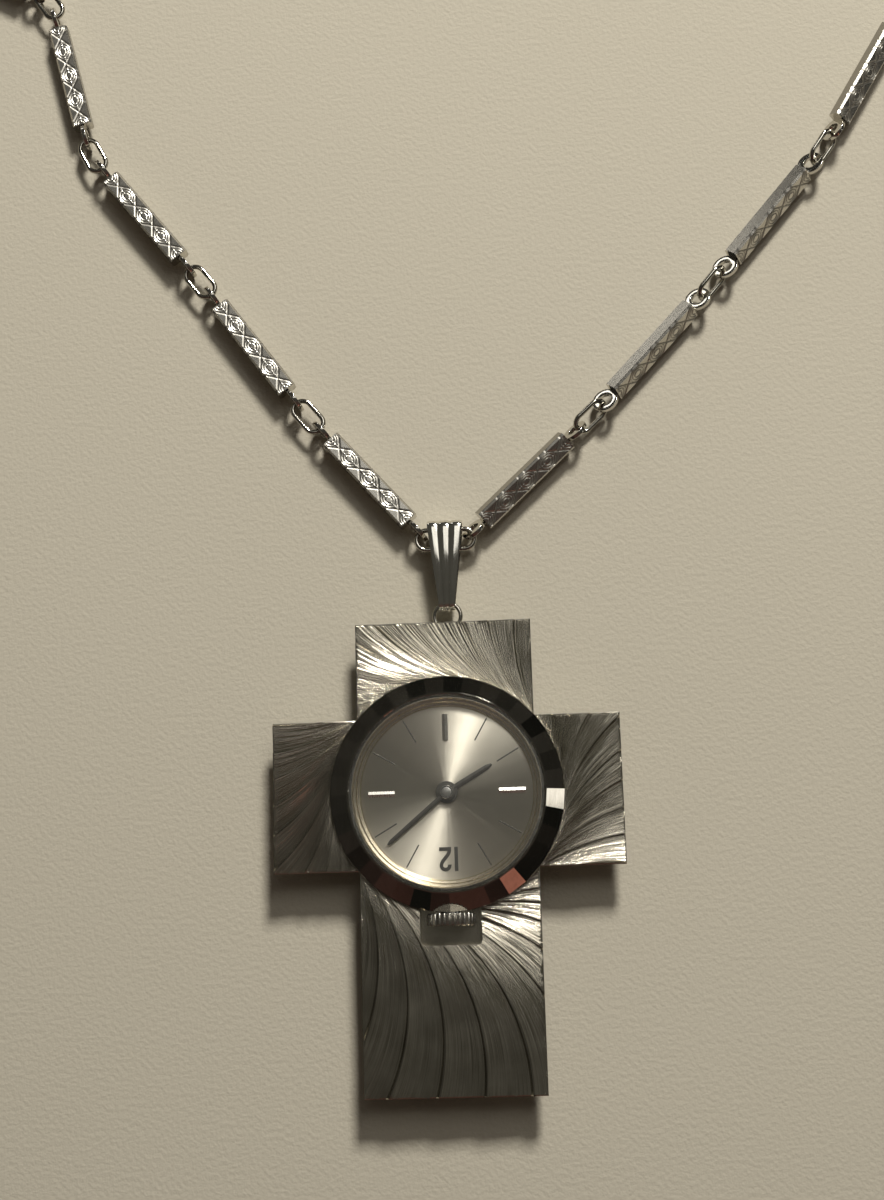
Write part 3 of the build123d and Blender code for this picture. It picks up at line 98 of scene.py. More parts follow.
class Signal:
    """A node socket that takes part in ordinary sums."""

    def __init__(self, book: "NodeBook", socket: bpy.types.NodeSocket) -> None:
        """Remember the tree's book and the socket."""
        self.book = book
        self.socket = socket

    def _join(self, operation: str, *operands: "Signal | float") -> "Signal":
        """Add one Math node.

        Args:
            operation: The Math node's operation.
            operands: Its inputs in order.

        Returns:
            The node's result.
        """
        return self.book.node("ShaderNodeMath", {"operation": operation}, dict(enumerate(operands)))

    def __add__(self, other: "Signal | float") -> "Signal":
        """Sum."""
        return self._join("ADD", self, other)

    def __radd__(self, other: float) -> "Signal":
        """Sum with the number first."""
        return self._join("ADD", other, self)

    def __sub__(self, other: "Signal | float") -> "Signal":
        """Difference."""
        return self._join("SUBTRACT", self, other)

    def __rsub__(self, other: float) -> "Signal":
        """Difference with the number first."""
        return self._join("SUBTRACT", other, self)

    def __mul__(self, other: "Signal | float") -> "Signal":
        """Product."""
        return self._join("MULTIPLY", self, other)

    def __rmul__(self, other: float) -> "Signal":
        """Product with the number first."""
        return self._join("MULTIPLY", other, self)

    def __truediv__(self, other: "Signal | float") -> "Signal":
        """Quotient."""
        return self._join("DIVIDE", self, other)

    def __rtruediv__(self, other: float) -> "Signal":
        """Quotient with the number first."""
        return self._join("DIVIDE", other, self)

    def __pow__(self, other: float) -> "Signal":
        """Power."""
        return self._join("POWER", self, other)

    def function(self, operation: str, *others: "Signal | float") -> "Signal":
        """Any other Math operation, with this signal as its first input."""
        return self._join(operation, self, *others)


class NodeBook:
    """Writes nodes into a tree."""

    def __init__(self, tree: bpy.types.NodeTree) -> None:
        """Remember the tree."""
        self.tree = tree

    def node(
        self,
        kind: str,
        settings: dict[str, object] | None = None,
        values: dict[int | str, object] | None = None,
        output: int | str = 0,
    ) -> Signal:
        """Add a node of any type.

        Args:
            kind: The node's type.
            settings: Its properties, set first. The key "stops" holds a ramp's stops.
            values: Values or links of its sockets by name or number.
            output: The output that is handed back.

        Returns:
            The chosen output as a signal.
        """
        made = self.tree.nodes.new(kind)
        for key, value in (settings or {}).items():
            if key == "stops":
                self._set_stops(made.color_ramp, value)
            else:
                setattr(made, key, value)
        for key, value in (values or {}).items():
            if isinstance(value, Signal):
                self.tree.links.new(value.socket, made.inputs[key])
            else:
                made.inputs[key].default_value = value
        return Signal(self, made.outputs[output])

    @staticmethod
    def _set_stops(ramp: bpy.types.ColorRamp, stops: Sequence[tuple[float, Colour]]) -> None:
        """Give a ramp its stops, each a place and a colour.

        Args:
            ramp: The ramp.
            stops: Its places and colours.
        """
        for index, (place, colour) in enumerate(stops):
            element = ramp.elements[index] if index < 2 else ramp.elements.new(place)
            element.position = place
            element.color = (*colour, 1.0)

    def vector(self, x: Signal | float, y: Signal | float, z: Signal | float) -> Signal:
        """Join three numbers to a vector."""
        return self.node("ShaderNodeCombineXYZ", None, {0: x, 1: y, 2: z})

    def parts(self, vector: Signal) -> tuple[Signal, Signal, Signal]:
        """The three numbers of a vector.

        Args:
            vector: The vector.

        Returns:
            Its x, y and z.
        """
        split = self.node("ShaderNodeSeparateXYZ", None, {0: vector})
        outputs = split.socket.node.outputs
        return split, Signal(self, outputs[1]), Signal(self, outputs[2])

    def noise(self, vector: Signal, scale: float, detail: float = 2.0) -> Signal:
        """Smooth noise from 0 to 1 at a vector."""
        values = {"Vector": vector, "Scale": scale, "Detail": detail}
        return self.node("ShaderNodeTexNoise", {"noise_dimensions": "3D"}, values)

    def ramp(self, signal: Signal, stops: Sequence[tuple[float, Colour]]) -> Signal:
        """Colours along a signal."""
        return self.node("ShaderNodeValToRGB", {"stops": stops}, {0: signal})

    def blend(
        self, share: Signal | float, first: Signal | Colour, second: Signal | Colour
    ) -> Signal:
        """Mix two colours.

        Args:
            share: How much of the second colour shows.
            first: The first colour.
            second: The second colour.

        Returns:
            The mixed colour.
        """
        ends = [end if isinstance(end, Signal) else (*end, 1.0) for end in (first, second)]
        settings = {"data_type": "RGBA", "clamp_factor": True}
        return self.node("ShaderNodeMix", settings, {0: share, 6: ends[0], 7: ends[1]}, 2)

    def hand_over(self, kind: str, result: Signal) -> None:
        """Join the tree's result to a new output node."""
        self.tree.links.new(result.socket, self.tree.nodes.new(kind).inputs[0])


class Grain(Enum):
    """How a surface was worked, which sets the run of its fine lines."""

    FLUTE = "along the cross's flutes"
    RADIAL = "outwards from the dial's middle"
    CONCENTRIC = "round the dial's axis"
    STRAIGHT = "along the movement's steel levers"
    POLISHED = "faint scratches every way"
    FROSTED = "fine blasted grain"
    STRIPED = "broad polishing stripes"


class Shader(NodeBook):
    """One procedural material."""

    def __init__(self, name: str) -> None:
        """Start an empty material.

        Args:
            name: The material's name.
        """
        self.material = bpy.data.materials.new(name)
        self.material.use_nodes = True
        super().__init__(self.material.node_tree)
        self.tree.nodes.clear()

    def place(self) -> Signal:
        """Object coordinates in millimetres.

        Returns:
            The vector from the object's origin.
        """
        metres = self.node("ShaderNodeTexCoord", output="Object")
        values = {0: metres, "Scale": 1 / MM}
        return self.node("ShaderNodeVectorMath", {"operation": "SCALE"}, values)

    def stretched(self, vector: Signal, scale: Point) -> Signal:
        """The vector with each of its numbers multiplied."""
        return self.node("ShaderNodeVectorMath", {"operation": "MULTIPLY"}, {0: vector, 1: scale})

    def line_noise(self, along: Signal, scale: float, detail: float = 3.0) -> Signal:
        """Noise that changes along one number only."""
        values = {"W": along, "Scale": scale, "Detail": detail}
        return self.node("ShaderNodeTexNoise", {"noise_dimensions": "1D"}, values)

    def bump(self, height: Signal, depth: float, under: Signal | None = None) -> Signal:
        """A normal from a height.

        Args:
            height: The height, from 0 to 1.
            depth: What a height of 1 stands for, in millimetres.
            under: A normal that this one is laid on.

        Returns:
            The bent normal.
        """
        values = {"Height": height, "Distance": depth * MM, "Strength": 1.0}
        if under is not None:
            values["Normal"] = under
        return self.node("ShaderNodeBump", None, values)

    def close(self, **values: object) -> bpy.types.Material:
        """End the material in a Principled surface.

        Args:
            values: Its sockets by name, with _ for a space.

        Returns:
            The finished material.
        """
        named = {key.replace("_", " "): value for key, value in values.items()}
        surface = self.node("ShaderNodeBsdfPrincipled", None, named)
        self.hand_over("ShaderNodeOutputMaterial", surface)
        return self.material


@dataclass(frozen=True)
class MetalFinish:
    """A worked metal: its two tones, its gloss and the run of its fine lines."""

    name: str
    light: Colour
    dark: Colour
    roughness: float
    grain: Grain
    grain_depth: float
    grain_pitch: float
    roughness_spread: float = 0.08
    anisotropy: float = 0.0
    anisotropy_turn: float = 0.0
    scratch_depth: float = 0.0008
    scratch_lines: Point = (9.0, 0.9, 4.0)
    scratch_gloss: float = 0.06
    wear_scale: float = 0.35
    wear_tone: float = 0.8
    grain_tone: float = 1.6
    metallic: float = 1.0

    def _grain(self, shader: Shader, place: Signal) -> Signal:
        """The height of the fine lines, from 0 to 1.

        Args:
            shader: The material's book.
            place: Object coordinates in millimetres.

        Returns:
            The height.
        """
        lines = 1 / self.grain_pitch
        x, y, _ = shader.parts(place)
        if self.grain is Grain.RADIAL:
            turn = y.function("ARCTAN2", x)
            return shader.line_noise(turn, lines * 10.0, 4.0)
        if self.grain is Grain.CONCENTRIC:
            radius = (x * x + y * y).function("SQRT")
            return shader.line_noise(radius, lines, 3.0)
        if self.grain is Grain.STRAIGHT:
            return shader.noise(shader.stretched(place, (lines, lines * 0.02, lines)), 1.0, 2.0)
        if self.grain is Grain.STRIPED:
            band = (x * 0.8 + y * 0.6) * 1.1
            arch = (band * FULL_TURN / 2.0).function("SINE").function("ABSOLUTE")
            fine = shader.noise(shader.stretched(place, (lines, lines * 0.1, lines)), 1.0)
            return arch * 0.7 + fine * 0.3
        if self.grain is Grain.FROSTED:
            return shader.noise(place, lines, 4.0)
        return shader.noise(shader.stretched(place, (lines, lines * 0.2, lines)), 1.0, 5.0)

    def _shaded(self, shader: Shader, tone: Signal) -> Signal:
        """The metal's colour with any painted shade in its low places; this plain metal paints
        none.
        """
        return tone

    def build(self) -> bpy.types.Material:
        """Make the material.

        Returns:
            The finished material.
        """
        shader = Shader(self.name)
        place = shader.place()
        grain = self._grain(shader, place)
        wear = shader.noise(place, self.wear_scale, 4.0)
        scratches = shader.noise(shader.stretched(place, self.scratch_lines), 1.0, 6.0)
        share = (grain - 0.5) * self.grain_tone + (wear - 0.5) * self.wear_tone + 0.5
        tone = shader.blend(share, self.dark, self.light)
        rough = (wear - 0.5) * self.roughness_spread + (scratches - 0.5) * self.scratch_gloss
        normal = shader.bump(grain, self.grain_depth)
        return shader.close(
            Base_Color=self._shaded(shader, tone),
            Metallic=self.metallic,
            Roughness=rough + self.roughness,
            Anisotropic=self.anisotropy,
            Anisotropic_Rotation=self.anisotropy_turn,
            Normal=shader.bump(scratches, self.scratch_depth, normal),
        )


@dataclass(frozen=True)
class FluteFinish(MetalFinish):
    """Satin silver with fine lines along the cross's flutes, and painted shade on the steps between
    them.
    """

    fine_lines: float = 6.0
    broad_lines: float = 1.2
    line_breaks: float = 3.0
    broad_shift: float = 5.0
    broad_share: float = 0.08
    chart_start: float = 0.0001
    # Painted shade: the dark colour laid on the steps between flutes and on each flute's deep side.
    step_painted_shade_colour: Colour = (0.09, 0.08, 0.06)
    step_start: float = 0.90
    step_painted_shade_share: float = 0.70
    slope_painted_shade_share: float = 0.32

    @staticmethod
    def _chart(shader: Shader) -> tuple[Signal, Signal]:
        """The place across the flutes, counted in flutes, and along them."""
        return shader.parts(shader.node("ShaderNodeUVMap", {"uv_map": "flute"}))[:2]

    def _grain(self, shader: Shader, place: Signal) -> Signal:
        """The height of the lines along the flutes, from 0 to 1.

        Args:
            shader: The material's book.
            place: Object coordinates in millimetres, which the flutes' own chart replaces.

        Returns:
            The height.
        """
        across, along = self._chart(shader)
        lines, along = across * (1 / self.grain_pitch), along * self.line_breaks
        fine = shader.vector(lines * self.fine_lines, along, 0.0)
        broad = shader.vector(lines * self.broad_lines, along, self.broad_shift)
        narrow = shader.noise(fine, 1.0, 0.0) * (1.0 - self.broad_share)
        return narrow + shader.noise(broad, 1.0, 1.0) * self.broad_share

    def _shaded(self, shader: Shader, tone: Signal) -> Signal:
        """Paint shade on the step between two flutes, and on each flute towards its deep side.

        Args:
            shader: The material's book.
            tone: The metal's colour.

        Returns:
            The colour with painted shade, unchanged where the chart doesn't reach.
        """
        across = self._chart(shader)[0]
        charted = across.function("GREATER_THAN", self.chart_start)
        share = across.function("FRACT")
        nearness = (share - 0.5).function("ABSOLUTE") * 2.0
        step = ((nearness - self.step_start) / (1.0 - self.step_start)).function("MAXIMUM", 0.0)
        # Painted shade: each flute darkens towards its deep side, and the step between flutes is
        # darker still.
        sloped = shader.blend(share * charted * self.slope_painted_shade_share, tone, self.step_painted_shade_colour)
        return shader.blend(step * charted * self.step_painted_shade_share, sloped, self.step_painted_shade_colour)


@dataclass(frozen=True)
class EngravedFinish:
    """Chain metal, darker in its engraved cuts and with painted shade on the bars' narrow sides,
    read from each link's own coordinates.
    """

    name: str = "engraved_silver"
    light: Colour = (0.70, 0.68, 0.63)
    dark: Colour = (0.42, 0.40, 0.36)
    # Dark colour for the painted shade on the bars' narrow sides and for the engraved cuts.
    side_shade_and_cut_colour: Colour = (0.10, 0.09, 0.075)
    roughness: float = 0.11
    body_roughness: float = 0.15
    body_half: float = 7.0
    side_start: float = 1.15
    side_shade: float = 0.45
    cut_shade: float = 0.75
    cut_roughness: float = 0.20
    wear_roughness: float = 0.08
    brush_lines: Point = (0.8, 14.0, 14.0)
    brush_depth: float = 0.0025

    def build(self) -> bpy.types.Material:
        """Make the material.

        Returns:
            The finished material.
        """
        shader = Shader(self.name)
        own = shader.node("ShaderNodeAttribute", {"attribute_name": "link_place"}, output="Vector")
        depth = shader.node("ShaderNodeAttribute", {"attribute_name": "cut_depth"}, output="Fac")
        wear = shader.noise(own, 0.6, 4.0)
        brushed = shader.noise(shader.stretched(own, self.brush_lines), 1.0, 3.0)
        metal = shader.blend(wear * 0.6 + brushed * 0.4, self.dark, self.light)
        along, across, _ = shader.parts(own)
        body = along.function("ABSOLUTE").function("LESS_THAN", self.body_half)
        # Painted shade: the narrow sides of each bar's body are blended towards the dark colour.
        side = across.function("ABSOLUTE").function("GREATER_THAN", self.side_start)
        shaded = shader.blend(side * body * self.side_shade, metal, self.side_shade_and_cut_colour)
        rough = (wear - 0.5) * self.wear_roughness + depth * self.cut_roughness
        # The engraved cuts are darkened towards the same colour.
        return shader.close(
            Base_Color=shader.blend(depth * self.cut_shade, shaded, self.side_shade_and_cut_colour),
            Metallic=1.0,
            Roughness=rough + body * self.body_roughness + self.roughness,
            Normal=shader.bump(brushed, self.brush_depth),
        )


@dataclass(frozen=True)
class CrystalFinish:
    """Clear domed crystal with soft wear, and a painted reflection at its edge, where it grows less
    clear at a slant.
    """

    name: str = "clear_crystal"
    tint: Colour = (0.40, 0.40, 0.38)
    worn_tint: Colour = (0.34, 0.34, 0.32)
    roughness: float = 0.02
    haze_roughness: float = 0.05
    scratch_alpha: float = 0.012
    scratch_depth: float = 0.0006
    clear_alpha: float = 0.03
    painted_reflection_alpha: float = 0.36
    edge_power: float = 3.0

    def build(self) -> bpy.types.Material:
        """Make the material.

        Returns:
            The finished material.
        """
        shader = Shader(self.name)
        place = shader.place()
        facing = shader.node("ShaderNodeLayerWeight", None, {"Blend": 0.5}, "Facing")
        haze = shader.noise(place, 0.5, 5.0)
        scratches = shader.noise(shader.stretched(place, (6.0, 0.8, 6.0)), 1.0, 5.0)
        # Painted reflection: the crystal grows less clear where it is seen at a slant, so its grey
        # tint shows there in place of part of the glass's reflection.
        alpha = (facing**self.edge_power) * (self.painted_reflection_alpha - self.clear_alpha) + self.clear_alpha
        material = shader.close(
            Base_Color=shader.blend(haze, self.tint, self.worn_tint),
            Roughness=haze * self.haze_roughness + self.roughness,
            Alpha=alpha + scratches * self.scratch_alpha,
            IOR=1.49,
            Normal=shader.bump(scratches, self.scratch_depth),
        )
        material.surface_render_method = "BLENDED"
        return material


@dataclass(frozen=True)
class RubyFinish:
    """Synthetic ruby of the pivot jewels."""

    name: str = "ruby_jewel"
    light: Colour = (0.62, 0.03, 0.09)
    dark: Colour = (0.30, 0.01, 0.04)

    def build(self) -> bpy.types.Material:
        """Make the material.

        Returns:
            The finished material.
        """
        shader = Shader(self.name)
        place = shader.place()
        cloud = shader.noise(place, 2.0, 3.0)
        return shader.close(
            Base_Color=shader.blend(cloud, self.dark, self.light),
            Roughness=cloud * 0.06 + 0.04,
            IOR=1.77,
            Coat_Weight=0.6,
            Normal=shader.bump(shader.noise(place, 30.0, 2.0), 0.0008),
        )


@dataclass(frozen=True)
class FloorFinish:
    """Pale matt cloth-like floor."""

    name: str = "floor_cloth"
    light: Colour = (0.470, 0.435, 0.360)
    dark: Colour = (0.430, 0.396, 0.322)

    def build(self) -> bpy.types.Material:
        """Make the material.

        Returns:
            The finished material.
        """
        shader = Shader(self.name)
        place = shader.place()
        grain = shader.noise(place, 2.0, 5.0)
        cloud = shader.noise(place, 0.02, 2.0)
        return shader.close(
            Base_Color=shader.blend(grain * 0.6 + cloud * 0.4, self.dark, self.light),
            Roughness=0.9,
            Specular_IOR_Level=0.2,
            Normal=shader.bump(grain, 0.085),
        )


FINISHES = {
    "satin_silver": FluteFinish(
        "fluted_silver", (0.74, 0.70, 0.60), (0.38, 0.35, 0.28),
        0.21, Grain.FLUTE, 0.045, 0.12, 0.05,
    ),
    "bail_steel": MetalFinish(
        "bail_finish", (0.88, 0.86, 0.80), (0.72, 0.70, 0.64),
        0.10, Grain.POLISHED, 0.0010, 0.5, 0.05,
    ),
    "crown_steel": MetalFinish(
        "crown_finish", (0.60, 0.58, 0.53), (0.42, 0.40, 0.36),
        0.27, Grain.POLISHED, 0.002, 0.3, 0.05,
    ),
    "wire_silver": MetalFinish(
        "wire_finish", (0.52, 0.50, 0.45), (0.34, 0.325, 0.285),
        0.10, Grain.POLISHED, 0.0020, 0.4, 0.06,
    ),
    "dial_ink": MetalFinish(
        "dial_ink", (0.045, 0.042, 0.036), (0.020, 0.019, 0.016), 0.50, Grain.FROSTED, 0.001, 0.05,
        metallic=0.0,
    ),
    "bezel_steel": MetalFinish(
        "bezel_mirror", (0.42, 0.40, 0.36), (0.34, 0.32, 0.28),
        0.07, Grain.POLISHED, 0.0006, 0.5, 0.03,
    ),
    "baton_steel": MetalFinish(
        "baton_finish", (0.86, 0.84, 0.78), (0.74, 0.72, 0.66),
        0.28, Grain.POLISHED, 0.001, 0.2, 0.04,
    ),
    "bright_steel": MetalFinish(
        "bright_steel_finish", (0.66, 0.65, 0.62), (0.54, 0.53, 0.50),
        0.09, Grain.POLISHED, 0.0012, 0.5, 0.05,
    ),
    "case_steel": MetalFinish(
        "case_steel_finish", (0.60, 0.59, 0.56), (0.46, 0.45, 0.42),
        0.30, Grain.CONCENTRIC, 0.006, 0.06,
    ),
    "crystal": CrystalFinish(),
    "dial_silver": MetalFinish(
        "sunray_dial", (0.72, 0.68, 0.58), (0.60, 0.56, 0.47),
        0.33, Grain.RADIAL, 0.004, 0.06, 0.04, 0.9, 0.24,
    ),
    "inner_ring_metal": MetalFinish(
        "inner_ring_finish", (0.70, 0.63, 0.49), (0.50, 0.43, 0.31),
        0.24, Grain.CONCENTRIC, 0.016, 0.12,
    ),
    "dark_hand": MetalFinish(
        "dark_hand_finish", (0.125, 0.120, 0.108), (0.065, 0.062, 0.055),
        0.34, Grain.POLISHED, 0.002, 0.2,
        metallic=0.7,
    ),
    "movement_brass": MetalFinish(
        "movement_brass_finish", (0.80, 0.60, 0.28), (0.62, 0.44, 0.17),
        0.28, Grain.CONCENTRIC, 0.003, 0.05,
    ),
    "movement_nickel": MetalFinish(
        "movement_nickel_finish", (0.66, 0.64, 0.60), (0.50, 0.48, 0.44),
        0.27, Grain.STRIPED, 0.012, 0.06,
    ),
    "movement_steel": MetalFinish(
        "movement_steel_finish", (0.58, 0.58, 0.58), (0.42, 0.42, 0.42),
        0.20, Grain.STRAIGHT, 0.003, 0.05,
    ),
    "blued_steel": MetalFinish(
        "blued_steel_finish", (0.05, 0.10, 0.42), (0.02, 0.04, 0.20),
        0.16, Grain.POLISHED, 0.001, 0.3,
    ),
    "ruby": RubyFinish(),
    "chain_silver": EngravedFinish(),
}


class GeometryTree(NodeBook):
    """A Geometry Nodes tree with named inputs, turned into plain meshes."""

    def __init__(self, name: str, inputs: dict[str, str]) -> None:
        """Start a tree.

        Args:
            name: The tree's name.
            inputs: The kind of socket of each named input.
        """
        tree = bpy.data.node_groups.new(name, "GeometryNodeTree")
        tree.interface.new_socket("Geometry", in_out="INPUT", socket_type="NodeSocketGeometry")
        for label, kind in inputs.items():
            tree.interface.new_socket(label, in_out="INPUT", socket_type=f"NodeSocket{kind}")
        tree.interface.new_socket("Material", in_out="INPUT", socket_type="NodeSocketMaterial")
        tree.interface.new_socket("Geometry", in_out="OUTPUT", socket_type="NodeSocketGeometry")
        super().__init__(tree)
        self.source = tree.nodes.new("NodeGroupInput")

    def given(self, label: str) -> Signal:
        """A named input as a signal."""
        return Signal(self, self.source.outputs[label])

    def around(self, radius: Signal, turn: Signal) -> tuple[Signal, Signal]:
        """The x and y of a point at a distance and a turn."""
        return radius * turn.function("COSINE"), radius * turn.function("SINE")

    def end(self, geometry: Signal) -> None:
        """Close the tree: real geometry with its material.

        Args:
            geometry: The tree's result.
        """
        real = self.node("GeometryNodeRealizeInstances", None, {"Geometry": geometry})
        values = {"Geometry": real, "Material": self.given("Material")}
        self.hand_over("NodeGroupOutput", self.node("GeometryNodeSetMaterial", None, values))

    def end_round(self, shape: Signal, step: Signal, first: Signal | float = 0.0) -> None:
        """Close the tree with copies of a shape at equal turns, joined where they meet.

        Args:
            shape: The geometry to copy.
            step: The turn from one copy to the next.
            first: The turn of the first copy.
        """
        points = self.node("GeometryNodePoints", None, {"Count": self.given("Count")})
        turn = self.node("GeometryNodeInputIndex") * step + first
        values = {"Points": points, "Instance": shape, "Rotation": self.vector(0.0, 0.0, turn)}
        copies = self.node("GeometryNodeInstanceOnPoints", None, values)
        real = self.node("GeometryNodeRealizeInstances", None, {"Geometry": copies})
        values = {"Geometry": real, "Distance": self.given("Join distance")}
        self.end(self.node("GeometryNodeMergeByDistance", None, values))

    def run(self, piece: bpy.types.Object, **values: object) -> bpy.types.Object:
        """Put the tree's result in an object as its plain mesh.

        Args:
            piece: The object whose mesh the tree starts from.
            values: The tree's inputs by name, with _ for a space.

        Returns:
            The same object.
        """
        modifier = piece.modifiers.new(self.tree.name, "NODES")
        modifier.node_group = self.tree
        identifiers = {
            item.name: item.identifier
            for item in self.tree.interface.items_tree
            if item.in_out == "INPUT"
        }
        for label, value in values.items():
            modifier[identifiers[label.replace("_", " ")]] = value
        bpy.context.view_layer.update()
        graph = bpy.context.evaluated_depsgraph_get()
        mesh = bpy.data.meshes.new_from_object(piece.evaluated_get(graph))
        piece.modifiers.clear()
        piece.data = mesh
        return piece


def repeat_round_tree() -> GeometryTree:
    """Tree that repeats a segment at equal turns about the Z axis and joins the copies.

    Returns:
        The tree, ready to run.
    """
    inputs = {"Count": "Int", "Step": "Float", "First": "Float", "Join distance": "Float"}
    book = GeometryTree("repeat_round", inputs)
    book.end_round(book.given("Geometry"), book.given("Step"), book.given("First"))
    return book


def flute_tree() -> GeometryTree:
    """Tree of the cross's swirl of sloping flutes, as one sheet about the Z axis.

    Returns:
        The tree, ready to run.
    """
    sizes = ("Line radius", "Arc radius", "First turn", "Last turn", "Offset turn", "Depth",
             "Front", "Riser share")
    inputs = {"Count": "Int", "Columns": "Int", "Rows": "Int", "Join distance": "Float"}
    book = GeometryTree("swirl_of_flutes", inputs | dict.fromkeys(sizes, "Float"))
    columns = book.given("Columns")
    values = {
        "Size X": 1.0,
        "Size Y": 1.0,
        "Vertices X": columns + 2.0,
        "Vertices Y": book.given("Rows"),
    }
    grid = book.node("GeometryNodeMeshGrid", None, values)
    across, up, _ = book.parts(book.node("GeometryNodeInputPosition"))
    column = ((across + 0.5) * (columns + 1.0)).function("ROUND")
    row = up + 0.5
    slope = (column / columns).function("MINIMUM", 1.0)
    riser = (column - columns).function("MAXIMUM", 0.0)
    share = slope * (1.0 - book.given("Riser share")) + riser * book.given("Riser share")
    step = FULL_TURN / book.given("Count")
    start = book.given("Offset turn") + share * step
    turn = book.given("First turn") + row * (book.given("Last turn") - book.given("First turn"))
    far_x, far_y = book.around(book.given("Line radius"), start)
    arm_x, arm_y = book.around(book.given("Arc radius"), start - turn)
    dip = slope * (1.0 - riser) * book.given("Depth")
    place = book.vector(far_x - arm_x, far_y - arm_y, book.given("Front") - dip)
    values = {"Geometry": grid, "Position": place}
    book.end_round(book.node("GeometryNodeSetPosition", None, values), step)
    return book


def wire_tree() -> GeometryTree:
    """Tree that lays a round wire along the edges of a mesh.

    Returns:
        The tree, ready to run.
    """
    book = GeometryTree("wire_along", {"Wire radius": "Float", "Sides": "Int"})
    course = book.node("GeometryNodeMeshToCurve", None, {"Mesh": book.given("Geometry")})
    values = {"Resolution": book.given("Sides"), "Radius": book.given("Wire radius")}
    round_wire = book.node("GeometryNodeCurvePrimitiveCircle", {"mode": "RADIUS"}, values)
    values = {"Curve": course, "Profile Curve": round_wire, "Fill Caps": True}
    wire = book.node("GeometryNodeCurveToMesh", None, values)
    book.end(book.node("GeometryNodeSetShadeSmooth", None, {"Geometry": wire}))
    return book


def link_tree() -> GeometryTree:
    """Tree that sets a link at every point, turned by the point's own angles.

    Returns:
        The tree, ready to run.
    """
    book = GeometryTree("links_in_place", {"Link": "Object"})
    link = book.node("GeometryNodeObjectInfo", None, {"Object": book.given("Link")}, "Geometry")
    kept = {"data_type": "FLOAT_VECTOR"}
    turns = book.node("GeometryNodeInputNamedAttribute", kept, {"Name": "turns"})
    values = {"Points": book.given("Geometry"), "Instance": link, "Rotation": turns}
    book.end(book.node("GeometryNodeInstanceOnPoints", None, values))
    return book


@contextmanager
def reworked(piece: bpy.types.Object) -> Iterator[bmesh.types.BMesh]:
    """A piece's mesh opened for work, and written back afterwards.

    Args:
        piece: The object whose mesh is opened.

    Yields:
        The open mesh, inside the with block.
    """
    work = bmesh.new()
    work.from_mesh(piece.data)
    yield work
    work.to_mesh(piece.data)
    work.free()


@dataclass
class Workshop:
    """The trees and finishes that all pieces share."""

    def __post_init__(self) -> None:
        """Build the trees and the finishes."""
        self.repeat_round = repeat_round_tree()
        self.flutes = flute_tree()
        self.wire = wire_tree()
        self.links = link_tree()
        self.finishes = {slot: finish.build() for slot, finish in FINISHES.items()}

    def piece(
        self, name: str, vertices: Iterable[Point], faces: Iterable[Sequence[int]]
    ) -> bpy.types.Object:
        """An object from points in millimetres.

        Args:
            name: The piece's name.
            vertices: Its points.
            faces: Its faces, or its edges where they have two points each.

        Returns:
            The new object, at the origin.
        """
        faces = list(faces)
        edges = [face for face in faces if len(face) == 2]
        mesh = bpy.data.meshes.new(name)
        points = [(x * MM, y * MM, z * MM) for x, y, z in vertices]
        mesh.from_pydata(points, edges, [face for face in faces if len(face) > 2])
        made = bpy.data.objects.new(name, mesh)
        bpy.context.scene.collection.objects.link(made)
        return made

    def clean(self, piece: bpy.types.Object, join: float = 0.0005) -> bpy.types.Object:
        """Join doubled points and turn every face outwards.

        Args:
            piece: A closed piece.
            join: The distance in millimetres within which points are one.

        Returns:
            The same piece.
        """
        with reworked(piece) as work:
            bmesh.ops.remove_doubles(work, verts=work.verts, dist=join * MM)
            bmesh.ops.dissolve_degenerate(work, dist=join * MM / 10, edges=work.edges)
            bmesh.ops.recalc_face_normals(work, faces=work.faces)
        return piece

    def repeat(
        self, piece: bpy.types.Object, count: int, step: float, slot: str, first: float = 0.0,
        join: float = 0.0,
    ) -> bpy.types.Object:
        """Repeat a piece at equal turns about the Z axis.

        Args:
            piece: One segment.
            count: How many there are.
            step: The turn from one to the next.
            slot: The material slot that it starts with.
            first: The turn of the first.
            join: The distance in millimetres within which neighbours are joined.

        Returns:
            The same piece.
        """
        self.repeat_round.run(
            piece, Count=count, Step=step, First=first, Join_distance=join * MM,
            Material=self.finishes[slot],
        )
        return piece

    def dress(
        self,
        piece: bpy.types.Object,
        body: str,
        slot: str,
        replaces: Sequence[str] = (),
        sharp: float = 30.0,
        finish: str = "",
    ) -> bpy.types.Object:
        """Give a piece its finish and its body.

        Args:
            piece: The finished mesh object.
            body: The CAD body it rides on.
            slot: The record's material slot.
            replaces: CAD nodes that it stands for.
            sharp: Edges that turn by more than this many degrees stay sharp.
            finish: Its finish, where that isn't the slot's own.

        Returns:
            The same piece.
        """
        mesh = piece.data
        mesh.materials.clear()
        mesh.materials.append(self.finishes[finish or slot])
        mesh.polygons.foreach_set("use_smooth", [True] * len(mesh.polygons))
        mesh.set_sharp_from_angle(angle=math.radians(sharp))
        mesh.update()
        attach(piece, body)
        if replaces:
            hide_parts(*replaces)
        LOG.info("%s rides on %s with %d faces", piece.name, body, len(mesh.polygons))
        return piece


def strips(loops: int, count: int, ring: bool = True, closed: bool = True) -> list[Face]:
    """Faces between neighbouring loops of points.

    Args:
        loops: How many loops follow one another.
        count: Points in each loop.
        ring: Whether the last loop joins the first.
        closed: Whether each loop's last point joins its first.

    Returns:
        The faces.
    """
    faces = []
    for loop in range(loops if ring else loops - 1):
        here, there = loop * count, (loop + 1) % loops * count
        for index in range(count if closed else count - 1):
            after = (index + 1) % count
            faces.append((here + index, there + index, there + after, here + after))
    return faces


